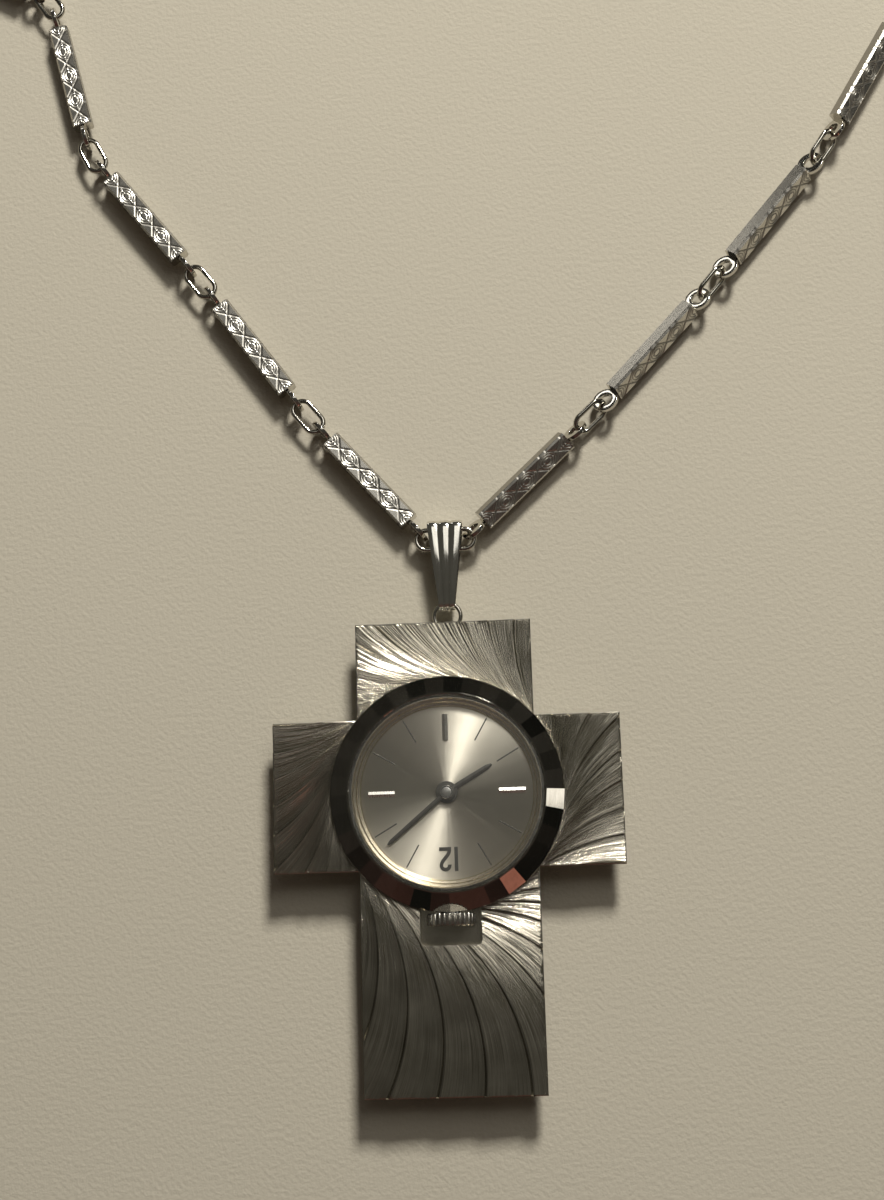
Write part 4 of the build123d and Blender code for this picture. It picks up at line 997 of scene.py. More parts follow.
def walls(count: int, start: int = 0) -> list[Face]:
    """Side faces between an outline and the same outline that follows it."""
    pairs = [(start + index, start + (index + 1) % count) for index in range(count)]
    return [(here, after, after + count, here + count) for here, after in pairs]


def add_shape(shape: Shape, more: Shape) -> None:
    """Add the points and faces of one shape to another.

    Args:
        shape: The points and faces that grow.
        more: The points and faces that are added.
    """
    shift = len(shape[0])
    shape[0].extend(more[0])
    shape[1].extend(tuple(shift + corner for corner in face) for face in more[1])


def lathe(profile: Sequence[Flat], steps: int) -> Shape:
    """Points and faces of a closed profile turned about the Z axis.

    Args:
        profile: Radius and height of each point.
        steps: Copies of the profile in a full turn.

    Returns:
        The points and the faces.
    """
    vertices = []
    for step in range(steps):
        turn = FULL_TURN * step / steps
        vertices += [(r * math.cos(turn), r * math.sin(turn), z) for r, z in profile]
    return vertices, strips(steps, len(profile))


def rounded_profile(
    inner: float, outer: float, low: float, high: float, edge: float, steps: int = 4
) -> list[Flat]:
    """Outline of a ring's section with rounded corners, in radius and height.

    Args:
        inner: The ring's inner radius.
        outer: Its outer radius.
        low: Its lower side.
        high: Its upper side.
        edge: The radius of its corners.
        steps: Flats in each corner.

    Returns:
        The points of the outline in order.
    """
    corners = ((outer - edge, low + edge, -90), (outer - edge, high - edge, 0),
               (inner + edge, high - edge, 90), (inner + edge, low + edge, 180))
    points = []
    for r, z, start in corners:
        for step in range(steps + 1):
            turn = math.radians(start + 90 * step / steps)
            points.append((r + edge * math.cos(turn), z + edge * math.sin(turn)))
    return points


@dataclass
class CrossPlate:
    """Thin cross with a swirl of sloping flutes, and the loop behind its top."""

    workshop: Workshop
    width: float = 40.0
    top: float = 19.8
    foot: float = 33.5
    stem_width: float = 20.4
    arm_height: float = 17.2
    back: float = 3.2
    front: float = 4.4
    neck_radius: float = 11.62
    flute_count: int = 40
    flute_depth: float = 0.30
    chamfer_in: float = 0.12
    chamfer_drop: float = 0.06
    line_radius: float = 37.0
    arc_radius: float = 24.0
    first_turn: float = 3.0
    last_turn: float = 69.5
    offset_turn: float = 2.3
    columns: int = 6
    rows: int = 60
    riser_share: float = 0.05
    window_half: float = 3.5
    window_foot: float = 17.05
    window_corner: float = 0.6
    corner_steps: int = 5
    loop_y: float = 19.2
    loop_z: float = 2.35
    loop_hole: float = 0.60
    loop_outer: float = 1.0
    loop_width: float = 0.6
    loop_edge: float = 0.12
    loop_sink: float = 0.05
    loop_steps: int = 40
    window_reach: float = 0.5
    window_top: float = 8.0
    rim_reach: float = 0.35
    near: float = 0.02
    join: float = 0.0008

    def _sheet(self) -> bmesh.types.BMesh:
        """The whole swirl as a sheet, with the flutes charted for their fine lines.

        Returns:
            The open mesh of the sheet.
        """
        source = self.workshop.piece("flute_sheet", [], [])
        self.workshop.flutes.run(
            source,
            Count=self.flute_count,
            Columns=self.columns,
            Rows=self.rows,
            Line_radius=self.line_radius * MM,
            Arc_radius=self.arc_radius * MM,
            First_turn=math.radians(self.first_turn),
            Last_turn=math.radians(self.last_turn),
            Offset_turn=math.radians(self.offset_turn),
            Depth=self.flute_depth * MM,
            Front=self.front * MM,
            Riser_share=self.riser_share,
            Join_distance=self.join * MM,
            Material=self.workshop.finishes["satin_silver"],
        )
        sheet = bmesh.new()
        sheet.from_mesh(source.data)
        bpy.data.objects.remove(source)
        chart = sheet.loops.layers.uv.new("flute")
        for face in sheet.faces:
            number, share_middle = self._flute_chart(face.calc_center_median())
            for loop in face.loops:
                other, share = self._flute_chart(loop.vert.co)
                drift = round(share - share_middle + other - number)
                aside = other + share - number - share_middle - drift
                reach = loop.vert.co.xy.length / MM / self.arc_radius
                loop[chart].uv = (number + share_middle + aside, reach)
        return sheet

    def _flute_chart(self, place: Vector) -> tuple[int, float]:
        """The number of the flute at a place, and the share of its width there.

        Args:
            place: A place on the sheet, in metres.

        Returns:
            The flute's number and the share of its width.
        """
        radius = place.xy.length / MM
        square = self.line_radius**2 + self.arc_radius**2
        cosine = (square - radius**2) / (2 * self.line_radius * self.arc_radius)
        turn = math.acos(max(-1.0, min(1.0, cosine)))
        lead = math.atan2(
            self.arc_radius * math.sin(turn), self.line_radius - self.arc_radius * math.cos(turn)
        )
        start = math.degrees(math.atan2(place.y, place.x) - lead) - self.offset_turn
        flute = (start % 360.0) / (360.0 / self.flute_count)
        return int(flute), flute - int(flute)

    def _cut(
        self, sheet: bmesh.types.BMesh, point: Flat, out: Flat, faces: Iterable | None = None
    ) -> None:
        """Cut a sheet along an upright plane.

        Args:
            sheet: The sheet.
            point: A point of the plane.
            out: The plane's outward direction.
            faces: The only faces to cut. Without them what lies beyond the plane is dropped.
        """
        whole = faces is None
        faces = sheet.faces[:] if whole else list(faces)
        if whole:
            around = sheet.verts[:] + sheet.edges[:]
        else:
            around = list({vert for face in faces for vert in face.verts})
            around += {edge for face in faces for edge in face.edges}
        bmesh.ops.bisect_plane(
            sheet,
            geom=around + faces,
            dist=self.join * MM / 10,
            plane_co=(point[0] * MM, point[1] * MM, 0),
            plane_no=(out[0], out[1], 0),
            clear_outer=whole,
        )

    def _window_planes(self) -> list[tuple[Flat, Flat]]:
        """Point and outward direction of each side of the crown's window.

        Returns:
            A point and a direction for each plane.
        """
        planes = [((self.window_half, 0), (1, 0)), ((-self.window_half, 0), (-1, 0)),
                  ((0, -self.window_foot), (0, -1))]
        for side in (-1, 1):
            x = side * (self.window_half - self.window_corner)
            y = self.window_corner - self.window_foot
            for step in range(1, self.corner_steps):
                turn = math.radians(90 * step / self.corner_steps)
                out = (side * math.cos(turn), -math.sin(turn))
                on = (x + self.window_corner * out[0], y + self.window_corner * out[1])
                planes.append((on, out))
        return planes

    def _by_window(self, face: bmesh.types.BMFace) -> bool:
        """Whether a face lies in or near the crown's window.

        Args:
            face: A face of the sheet.

        Returns:
            True where the face is near enough to be cut.
        """
        place = face.calc_center_median() / MM
        wide = abs(place.x) < self.window_half + self.window_reach
        return wide and -self.window_foot - self.window_reach < place.y < -self.window_top

    def _open_window(self, sheet: bmesh.types.BMesh) -> None:
        """Cut the crown's window out of the upright.

        Args:
            sheet: The cross's front.
        """
        planes = self._window_planes()
        for on, out in planes:
            self._cut(sheet, on, out, filter(self._by_window, sheet.faces))
        gone = []
        for face in sheet.faces:
            x, y, _ = face.calc_center_median() / MM
            inside = all((x - on[0]) * out[0] + (y - on[1]) * out[1] < 0 for on, out in planes)
            if inside and y < 0:
                gone.append(face)
        bmesh.ops.delete(sheet, geom=gone, context="FACES")

    def _seat(self, sheet: bmesh.types.BMesh) -> None:
        """Run the inner rim of the sheet in to the case's neck, under the bezel.

        Args:
            sheet: The cross's front.
        """
        limit = (self.line_radius - self.arc_radius + self.rim_reach) * MM
        rim = []
        for edge in sheet.edges:
            first, second = (vert.co.xy.length for vert in edge.verts)
            close = first < limit and second < limit and abs(first - second) < self.near * MM
            if len(edge.link_faces) == 1 and close:
                rim.append(edge)
        level = (self.front - self.flute_depth) * MM
        inner: dict[int, bmesh.types.BMVert] = {}
        for edge in rim:
            for vert in edge.verts:
                if vert.index not in inner:
                    flat = vert.co.xy.normalized() * self.neck_radius * MM
                    inner[vert.index] = sheet.verts.new((flat.x, flat.y, level))
        for edge in rim:
            first, second = edge.verts
            sheet.faces.new((first, second, inner[second.index], inner[first.index]))

    def _inward(self, x: float, y: float) -> Flat:
        """The way in from the cross's outer edge at a place, or nothing elsewhere.

        Args:
            x: The place across.
            y: The place along the upright.

        Returns:
            The way in, as -1, 0 or 1 across and along.
        """
        near, wide, high = self.near, abs(x), abs(y)
        tip = abs(wide - self.width / 2) < near
        stem_side = abs(wide - self.stem_width / 2) < near and high > self.arm_height / 2 - near
        arm_side = abs(high - self.arm_height / 2) < near and wide > self.stem_width / 2 - near
        end = min(abs(y - self.top), abs(y + self.foot)) < near
        step_x = -math.copysign(1.0, x) if tip or stem_side else 0.0
        step_y = -math.copysign(1.0, y) if end or arm_side else 0.0
        return step_x, step_y

    def _chamfer(self, sheet: bmesh.types.BMesh, bounds: list) -> list:
        """Break the outer edge of the front and hand back the sheet's new bounds.

        Args:
            sheet: The cross's front.
            bounds: Its open edges.

        Returns:
            The open edges under the chamfer.
        """
        lower: dict[int, bmesh.types.BMVert] = {}
        for vert in {vert for edge in bounds for vert in edge.verts}:
            step_x, step_y = self._inward(vert.co.x / MM, vert.co.y / MM)
            if step_x or step_y:
                drop = Vector((0, 0, self.chamfer_drop * MM))
                lower[vert.index] = sheet.verts.new(vert.co - drop)
                vert.co += Vector((step_x, step_y, 0)) * self.chamfer_in * MM
        result = []
        for edge in bounds:
            first, second = edge.verts
            if first.index in lower and second.index in lower:
                face = sheet.faces.new((first, second, lower[second.index], lower[first.index]))
                under = (lower[first.index], lower[second.index])
                result += [e for e in face.edges if under[0] in e.verts and under[1] in e.verts]
            else:
                result.append(edge)
        sheet.verts.ensure_lookup_table()
        sheet.verts.index_update()
        return result

    def _close(self, sheet: bmesh.types.BMesh) -> None:
        """Give the sheet its edges and its back.

        Args:
            sheet: The cross's front.
        """
        sheet.verts.ensure_lookup_table()
        sheet.verts.index_update()
        bounds = [edge for edge in sheet.edges if len(edge.link_faces) == 1]
        bounds = self._chamfer(sheet, bounds)
        below: dict[int, bmesh.types.BMVert] = {}
        for edge in bounds:
            for vert in edge.verts:
                if vert.index not in below:
                    below[vert.index] = sheet.verts.new((vert.co.x, vert.co.y, self.back * MM))
        floor_edges = []
        for edge in bounds:
            first, second = edge.verts
            under = (below[first.index], below[second.index])
            face = sheet.faces.new((first, second, under[1], under[0]))
            floor_edges += [e for e in face.edges if under[0] in e.verts and under[1] in e.verts]
        bmesh.ops.triangle_fill(sheet, use_beauty=True, use_dissolve=False, edges=floor_edges)
        bmesh.ops.recalc_face_normals(sheet, faces=sheet.faces)

    def build_plate(self) -> bpy.types.Object:
        """The cross, cut from the swirl.

        Returns:
            The finished piece.
        """
        half_stem, half_arm, half_width = self.stem_width / 2, self.arm_height / 2, self.width / 2
        areas = (
            (-half_stem, half_stem, -self.foot, self.top),
            (-half_width, -half_stem, -half_arm, half_arm),
            (half_stem, half_width, -half_arm, half_arm),
        )
        whole = bmesh.new()
        chart = self._sheet()
        for left, right, low, high in areas:
            part = chart.copy()
            self._cut(part, (left, 0), (-1, 0))
            self._cut(part, (right, 0), (1, 0))
            self._cut(part, (0, low), (0, -1))
            self._cut(part, (0, high), (0, 1))
            mesh = bpy.data.meshes.new("cross_part")
            part.to_mesh(mesh)
            part.free()
            whole.from_mesh(mesh)
            bpy.data.meshes.remove(mesh)
        chart.free()
        bmesh.ops.remove_doubles(whole, verts=whole.verts, dist=self.join * MM)
        self._open_window(whole)
        whole.verts.index_update()
        self._seat(whole)
        self._close(whole)
        plate = self.workshop.piece("fluted_cross", [], [])
        whole.to_mesh(plate.data)
        whole.free()
        return self.workshop.dress(plate, "watch", "satin_silver", ["cross_plate"], 24.0)

    def build_loop(self) -> bpy.types.Object:
        """The small loop that the jump ring hangs on.

        Returns:
            The finished piece.
        """
        half = self.loop_width / 2
        profile = rounded_profile(self.loop_hole, self.loop_outer, -half, half, self.loop_edge)
        vertices, faces = lathe(profile, self.loop_steps)
        placed = [(z, self.loop_y + x, self.loop_z - y) for x, y, z in vertices]
        loop = self.workshop.clean(self.workshop.piece("hanging_loop", placed, faces))
        with reworked(loop) as keep:
            bmesh.ops.bisect_plane(
                keep,
                geom=keep.verts[:] + keep.edges[:] + keep.faces[:],
                plane_co=(0, 0, (self.back + self.loop_sink) * MM),
                plane_no=(0, 0, 1),
                clear_outer=True,
            )
            open_edges = [edge for edge in keep.edges if len(edge.link_faces) == 1]
            bmesh.ops.holes_fill(keep, edges=open_edges)
            bmesh.ops.recalc_face_normals(keep, faces=keep.faces)
        return self.workshop.dress(loop, "watch", "bright_steel")


@dataclass
class Bezel:
    """Faceted bezel with a thin bright bead, and the domed crystal that it holds."""

    workshop: Workshop
    facets: int = 36
    columns: int = 5
    foot_radius: float = 13.40
    foot: float = 4.40
    waist: float = 4.75
    rim_radius: float = 11.35
    rim: float = 6.30
    bore: float = 11.07
    neck_radius: float = 11.62
    neck_top: float = 5.0
    bead: float = 0.07
    bead_foot: float = 1.6
    edge: float = 0.03
    edge_drop: float = 0.05
    crystal_radius: float = 11.05
    crystal_wall: float = 0.25
    crystal_lower: float = 0.3
    crystal_side: float = 6.40
    crystal_dome: float = 0.90
    dome_steps: int = 16
    crystal_steps: int = 160

    def build_bezel(self) -> bpy.types.Object:
        """One facet, repeated round the dial.

        Returns:
            The finished piece.
        """
        step = FULL_TURN / self.facets
        flat_rows = ((self.rim_radius, self.rim - self.bead / 2),
                     (self.foot_radius - self.edge, self.waist),
                     (self.foot_radius, self.waist - self.edge_drop), (self.foot_radius, self.foot))
        round_rows = ((self.neck_radius, self.foot), (self.neck_radius, self.neck_top),
                      (self.bore, self.neck_top), (self.bore, self.rim - self.bead))
        bead_rows = ((self.bore + self.bead * self.bead_foot, self.rim),
                     (self.rim_radius - self.bead, self.rim))
        rows = [(radius, z, True) for radius, z in flat_rows]
        rows += [(radius, z, False) for radius, z in round_rows]
        rows += [(radius, z, True) for radius, z in bead_rows]
        vertices = []
        for column in range(self.columns + 1):
            turn = step * column / self.columns
            chord = math.cos(step / 2) / math.cos(turn - step / 2)
            for radius, z, flat in rows:
                reach = radius * chord if flat else radius
                vertices.append((reach * math.cos(turn), reach * math.sin(turn), z))
        faces = strips(self.columns + 1, len(rows), ring=False)
        bezel = self.workshop.piece("faceted_bezel", vertices, faces)
        self.workshop.repeat(bezel, self.facets, step, "bright_steel", join=SEGMENT_JOIN)
        self.workshop.clean(bezel)
        return self.workshop.dress(bezel, "watch", "bright_steel", ["bezel"], 5.0, "bezel_steel")

    def _dome(self, radius: float, side: float, rise: float) -> list[Flat]:
        """Profile of a dome from its edge to the axis.

        Args:
            radius: The dome's radius.
            side: The height of its edge.
            rise: How far its middle stands above its edge.

        Returns:
            Radius and height of each point.
        """
        ball = (radius**2 + rise**2) / (2 * rise)
        points = []
        for step in range(self.dome_steps + 1):
            r = radius * (1 - step / self.dome_steps)
            points.append((r, side + rise - ball + math.sqrt(ball**2 - r**2)))
        return points

    def build_crystal(self) -> bpy.types.Object:
        """The domed crystal with its straight skirt.

        Returns:
            The finished piece.
        """
        outer = self._dome(self.crystal_radius, self.crystal_side, self.crystal_dome)
        bore, lower = self.crystal_radius - self.crystal_wall, self.crystal_lower
        inner = self._dome(bore, self.crystal_side - lower, self.crystal_dome - lower)
        profile = [(self.crystal_radius, self.neck_top)] + outer + inner[::-1]
        profile.append((bore, self.neck_top))
        vertices, faces = lathe(profile, self.crystal_steps)
        crystal = self.workshop.clean(self.workshop.piece("domed_crystal", vertices, faces))
        return self.workshop.dress(crystal, "watch", "crystal", ["crystal"], 40.0)


@dataclass
class Dial:
    """Sunray dial with its inner ring, batons, lines and a plain 12."""

    workshop: Workshop
    steps: int = 180
    radius: float = 10.60
    hole: float = 0.80
    back: float = 4.50
    front: float = 4.90
    edge: float = 0.03
    plate_rings: int = 8
    ring_gap: float = 0.001
    ring_opening: float = 9.80
    ring_outside: float = 10.78
    ring_foot: float = 5.0
    ring_top: float = 6.0
    neck_top: float = 5.0
    baton_start: float = 5.95
    baton_length: float = 3.0
    baton_width: float = 0.65
    baton_height: float = 0.25
    line_start: float = 6.70
    line_length: float = 2.90
    line_width: float = 0.15
    line_height: float = 0.04
    numeral_middle: float = 7.50
    numeral_height: float = 2.70
    numeral_width: float = 0.95
    numeral_stroke: float = 0.40
    numeral_gap: float = 0.36
    numeral_lift: float = 0.003

    def build_plate(self) -> bpy.types.Object:
        """The dial's disc.

        Returns:
            The finished piece.
        """
        shoulder, inner = self.front - self.edge, self.hole + self.edge
        span = self.radius - self.hole - 2 * self.edge
        rings = [(self.hole, self.back), (self.hole, shoulder)]
        for ring in range(self.plate_rings + 1):
            rings.append((inner + span * ring / self.plate_rings, self.front))
        rings += [(self.radius, shoulder), (self.radius, self.back)]
        vertices, faces = lathe(rings, self.steps)
        dial = self.workshop.clean(self.workshop.piece("sunray_dial", vertices, faces))
        return self.workshop.dress(dial, "watch", "dial_silver", ["dial"])

    def build_ring(self) -> bpy.types.Object:
        """The stepped ring between the dial and the crystal.

        Returns:
            The finished piece.
        """
        slope = self.ring_top - self.ring_foot
        shares = ((0.0, 0.0), (0.12, 0.25), (0.40, 0.33), (0.54, 0.62), (0.80, 0.70), (0.90, 1.0))
        span = self.ring_outside - self.ring_opening
        profile = [
            (self.ring_opening + span * along, self.ring_foot + slope * up) for along, up in shares
        ]
        profile += [(self.ring_outside, self.ring_top), (self.ring_outside, self.neck_top),
                    (self.radius, self.neck_top), (self.radius, self.front + self.ring_gap),
                    (self.ring_opening, self.front + self.ring_gap)]
        vertices, faces = lathe(profile, self.steps)
        ring = self.workshop.clean(self.workshop.piece("stepped_inner_ring", vertices, faces))
        return self.workshop.dress(ring, "watch", "inner_ring_metal", ["inner_ring"], 20.0)

    def _baton(self) -> Shape:
        """A roof-shaped baton pointing along X.

        Returns:
            Its points and faces.
        """
        near, far = self.baton_start, self.baton_start + self.baton_length
        half, low = self.baton_width / 2, self.front
        wall, ridge = low + self.baton_height * 0.35, low + self.baton_height
        section = ((-half, low), (half, low), (half, wall), (0.0, ridge), (-half, wall))
        vertices = [(x, y, z) for x in (near, far) for y, z in section]
        return vertices, [tuple(range(5)), tuple(range(9, 4, -1))] + walls(5)

    def _line(self) -> Shape:
        """A thin hour line along X with bevelled sides.

        Returns:
            Its points and faces.
        """
        near, far = self.line_start, self.line_start + self.line_length
        half, low, high = self.line_width / 2, self.front, self.front + self.line_height
        section = ((-half, low), (half, low), (half * 0.8, high), (-half * 0.8, high))
        vertices = [(x, y, z) for x in (near, far) for y, z in section]
        return vertices, [(0, 1, 2, 3), (7, 6, 5, 4)] + walls(4)

    def _repeat(
        self, name: str, shape: Shape, count: int, step: float, first: float, slot: str
    ) -> bpy.types.Object:
        """A marker repeated round the dial.

        Args:
            name: The piece's name.
            shape: One marker.
            count: How many there are.
            step: Degrees from one to the next.
            first: Degrees of the first.
            slot: The slot that it starts with.

        Returns:
            All of them as one piece.
        """
        marker = self.workshop.piece(name, *shape)
        self.workshop.repeat(marker, count, math.radians(step), slot, math.radians(first))
        return self.workshop.clean(marker)

    def build_markers(self) -> list[bpy.types.Object]:
        """Batons at three, six and nine, and pairs of lines between them.

        Returns:
            The finished pieces.
        """
        batons = self._repeat("hour_batons", self._baton(), 3, 90, 0, "bright_steel")
        node = ["dial_markers"]
        made = [self.workshop.dress(batons, "watch", "bright_steel", node, 10.0, "baton_steel")]
        for name, first in (("hour_lines_early", 30), ("hour_lines_late", 60)):
            lines = self._repeat(name, self._line(), 4, 90, first, "dark_hand")
            made.append(self.workshop.dress(lines, "watch", "dark_hand", node, 30.0, "dial_ink"))
        return made

    def _ribbon(self, points: Sequence[Flat], low: float, high: float) -> Shape:
        """A flat stroke along a line, with square ends.

        Args:
            points: The line.
            low: The stroke's foot.
            high: The stroke's top.

        Returns:
            The points and faces.
        """
        sides: list[list[Flat]] = [[], []]
        for index, (x, y) in enumerate(points):
            before = points[max(index - 1, 0)]
            after = points[min(index + 1, len(points) - 1)]
            along = Vector((after[0] - before[0], after[1] - before[1])).normalized()
            for side, sign in zip(sides, (1, -1)):
                aside = (sign * along.y * self.numeral_stroke, sign * along.x * self.numeral_stroke)
                side.append((x - aside[0] / 2, y + aside[1] / 2))
        outline = sides[0] + sides[1][::-1]
        count, half = len(outline), len(points)
        vertices = [(x, y, z) for z in (low, high) for x, y in outline]
        faces = []
        for index in range(half - 1):
            across = (index, index + 1, count - 2 - index, count - 1 - index)
            faces.append(across)
            faces.append(tuple(count + corner for corner in reversed(across)))
        return vertices, faces + walls(count)

    def build_numeral(self) -> bpy.types.Object:
        """A plain 12 at the foot of the dial, upside down as the watch hangs.

        Returns:
            The finished piece.
        """
        half = (self.numeral_height - self.numeral_stroke) / 2
        one_x = -(self.numeral_width + self.numeral_stroke) / 2 - self.numeral_gap / 2
        left = one_x + self.numeral_stroke + self.numeral_gap
        right = left + self.numeral_width
        bow = self.numeral_width / 2
        middle = (left + right) / 2
        two = [(left, half - bow * 1.15)]
        for step in range(13):
            turn = math.radians(180 - 15 * step)
            two.append((middle + bow * math.cos(turn), half - bow + bow * math.sin(turn)))
        for share in (0.15, 0.3, 0.5, 0.7, 0.85, 1.0):
            ease = share * share * (3 - 2 * share)
            drop = (2 * half - bow * 1.4) * share
            two.append((right - self.numeral_width * ease, half - bow - drop))
        two.append((left, -half + self.numeral_stroke / 4))
        strokes = (
            [(one_x, -half - self.numeral_stroke / 2), (one_x, half + self.numeral_stroke / 2)],
            two,
            [(left - self.numeral_stroke / 2, -half), (right + self.numeral_stroke / 2, -half)],
        )
        vertices: list[Point] = []
        faces: list[Face] = []
        for layer, stroke in enumerate(strokes):
            high = self.front + self.line_height + layer * self.numeral_lift
            points, sides = self._ribbon(stroke, self.front, high)
            placed = [(-x, -y - self.numeral_middle, z) for x, y, z in points]
            add_shape((vertices, faces), (placed, sides))
        numeral = self.workshop.clean(self.workshop.piece("plain_twelve", vertices, faces), 0.0001)
        node = ["dial_markers"]
        return self.workshop.dress(numeral, "watch", "dark_hand", node, 30.0, "dial_ink")


@dataclass
class Hand:
    """A slim hand with a ridge down its blade and a round hub."""

    workshop: Workshop
    name: str
    body: str
    node: str
    length: float
    width: float
    hub: float
    bore: float
    low: float
    turn: float
    thickness: float = 0.12
    ridge: float = 0.05
    tip_share: float = 0.35
    shoulder_share: float = 0.92
    drop: float = 0.02
    edge: float = 0.04
    hub_steps: int = 64

    def build(self) -> bpy.types.Object:
        """The blade and its hub.

        Returns:
            The finished piece.
        """
        top = self.low + self.thickness
        shoulder = self.length - self.width
        stations = ((self.bore * 1.02, 1.0), (self.length * 0.5, 1.0),
                    (shoulder, self.shoulder_share), (self.length, self.tip_share))
        vertices: list[Point] = []
        for x, share in stations:
            half = self.width / 2 * share
            vertices += [(x, -half, self.low), (x, half, self.low), (x, half, top - self.drop),
                         (x, 0.0, top + self.ridge * share), (x, -half, top - self.drop)]
        faces: list[Face] = [(4, 3, 2, 1, 0), tuple(range(15, 20))]
        for station in range(len(stations) - 1):
            faces += walls(5, station * 5)
        turn = math.radians(self.turn)
        cos, sin = math.cos(turn), math.sin(turn)
        vertices = [(x * cos - y * sin, x * sin + y * cos, z) for x, y, z in vertices]
        profile = rounded_profile(self.bore, self.hub, self.low, top + self.drop, self.edge)
        add_shape((vertices, faces), lathe(profile, self.hub_steps))
        hand = self.workshop.clean(self.workshop.piece(self.name, vertices, faces), 0.0001)
        return self.workshop.dress(hand, self.body, "dark_hand", [self.node], 20.0)


@dataclass
class CentreCap:
    """Low dome over the middle of the hands."""

    workshop: Workshop
    radius: float = 0.74
    low: float = 5.66
    wall: float = 0.10
    rise: float = 0.12
    rings: int = 6
    steps: int = 56

    def build(self) -> bpy.types.Object:
        """The cap.

        Returns:
            The finished piece.
        """
        profile = [(0.0, self.low), (self.radius, self.low), (self.radius, self.low + self.wall)]
        for ring in range(1, self.rings + 1):
            turn = math.radians(90 * ring / self.rings)
            height = self.low + self.wall + self.rise * math.sin(turn)
            profile.append((self.radius * math.cos(turn), height))
        cap = self.workshop.clean(self.workshop.piece("hand_cap", *lathe(profile, self.steps)))
        return self.workshop.dress(cap, "minute_hand", "dark_hand", (), 30.0, "case_steel")


@dataclass
class Crown:
    """Ribbed crown in the window of the cross."""

    workshop: Workshop
    ribs: int = 30
    radius: float = 2.80
    groove: float = 0.15
    start: float = 13.50
    length: float = 1.35
    height: float = 3.10
    edge: float = 0.20

    def build(self) -> bpy.types.Object:
        """One rib, repeated round the stem's axis.

        Returns:
            The finished piece.
        """
        step = FULL_TURN / self.ribs
        shape = ((0.0, 0.0), (0.26, 0.0), (0.36, 0.7), (0.5, 1.0), (0.64, 0.7), (0.74, 0.0),
                 (1.0, 0.0))
        rows = ((self.edge, 0.0, 0.0), (0.0, self.edge, 1.0), (0.0, self.length - self.edge, 1.0),
                (self.edge * 0.4, self.length - self.edge * 0.3, 0.6),
                (self.edge * 1.2, self.length, 0.0))
        vertices: list[Point] = []
        for share, dip in shape:
            turn = step * share
            vertices.append((0.0, 0.0, 0.0))
            for inset, z, depth in rows:
                reach = self.radius - inset - self.groove * dip * depth
                vertices.append((reach * math.cos(turn), reach * math.sin(turn), z))
            vertices.append((0.0, 0.0, self.length))
        faces = strips(len(shape), len(rows) + 2, ring=False, closed=False)
        crown = self.workshop.piece("ribbed_crown", vertices, faces)
        self.workshop.repeat(crown, self.ribs, step, "bright_steel", join=SEGMENT_JOIN)
        place = Matrix.Translation((0, -self.start * MM, self.height * MM))
        crown.data.transform(place @ Matrix.Rotation(math.pi / 2, 4, "X"))
        self.workshop.clean(crown)
        return self.workshop.dress(crown, "crown", "bright_steel", ["crown"], 35.0, "crown_steel")


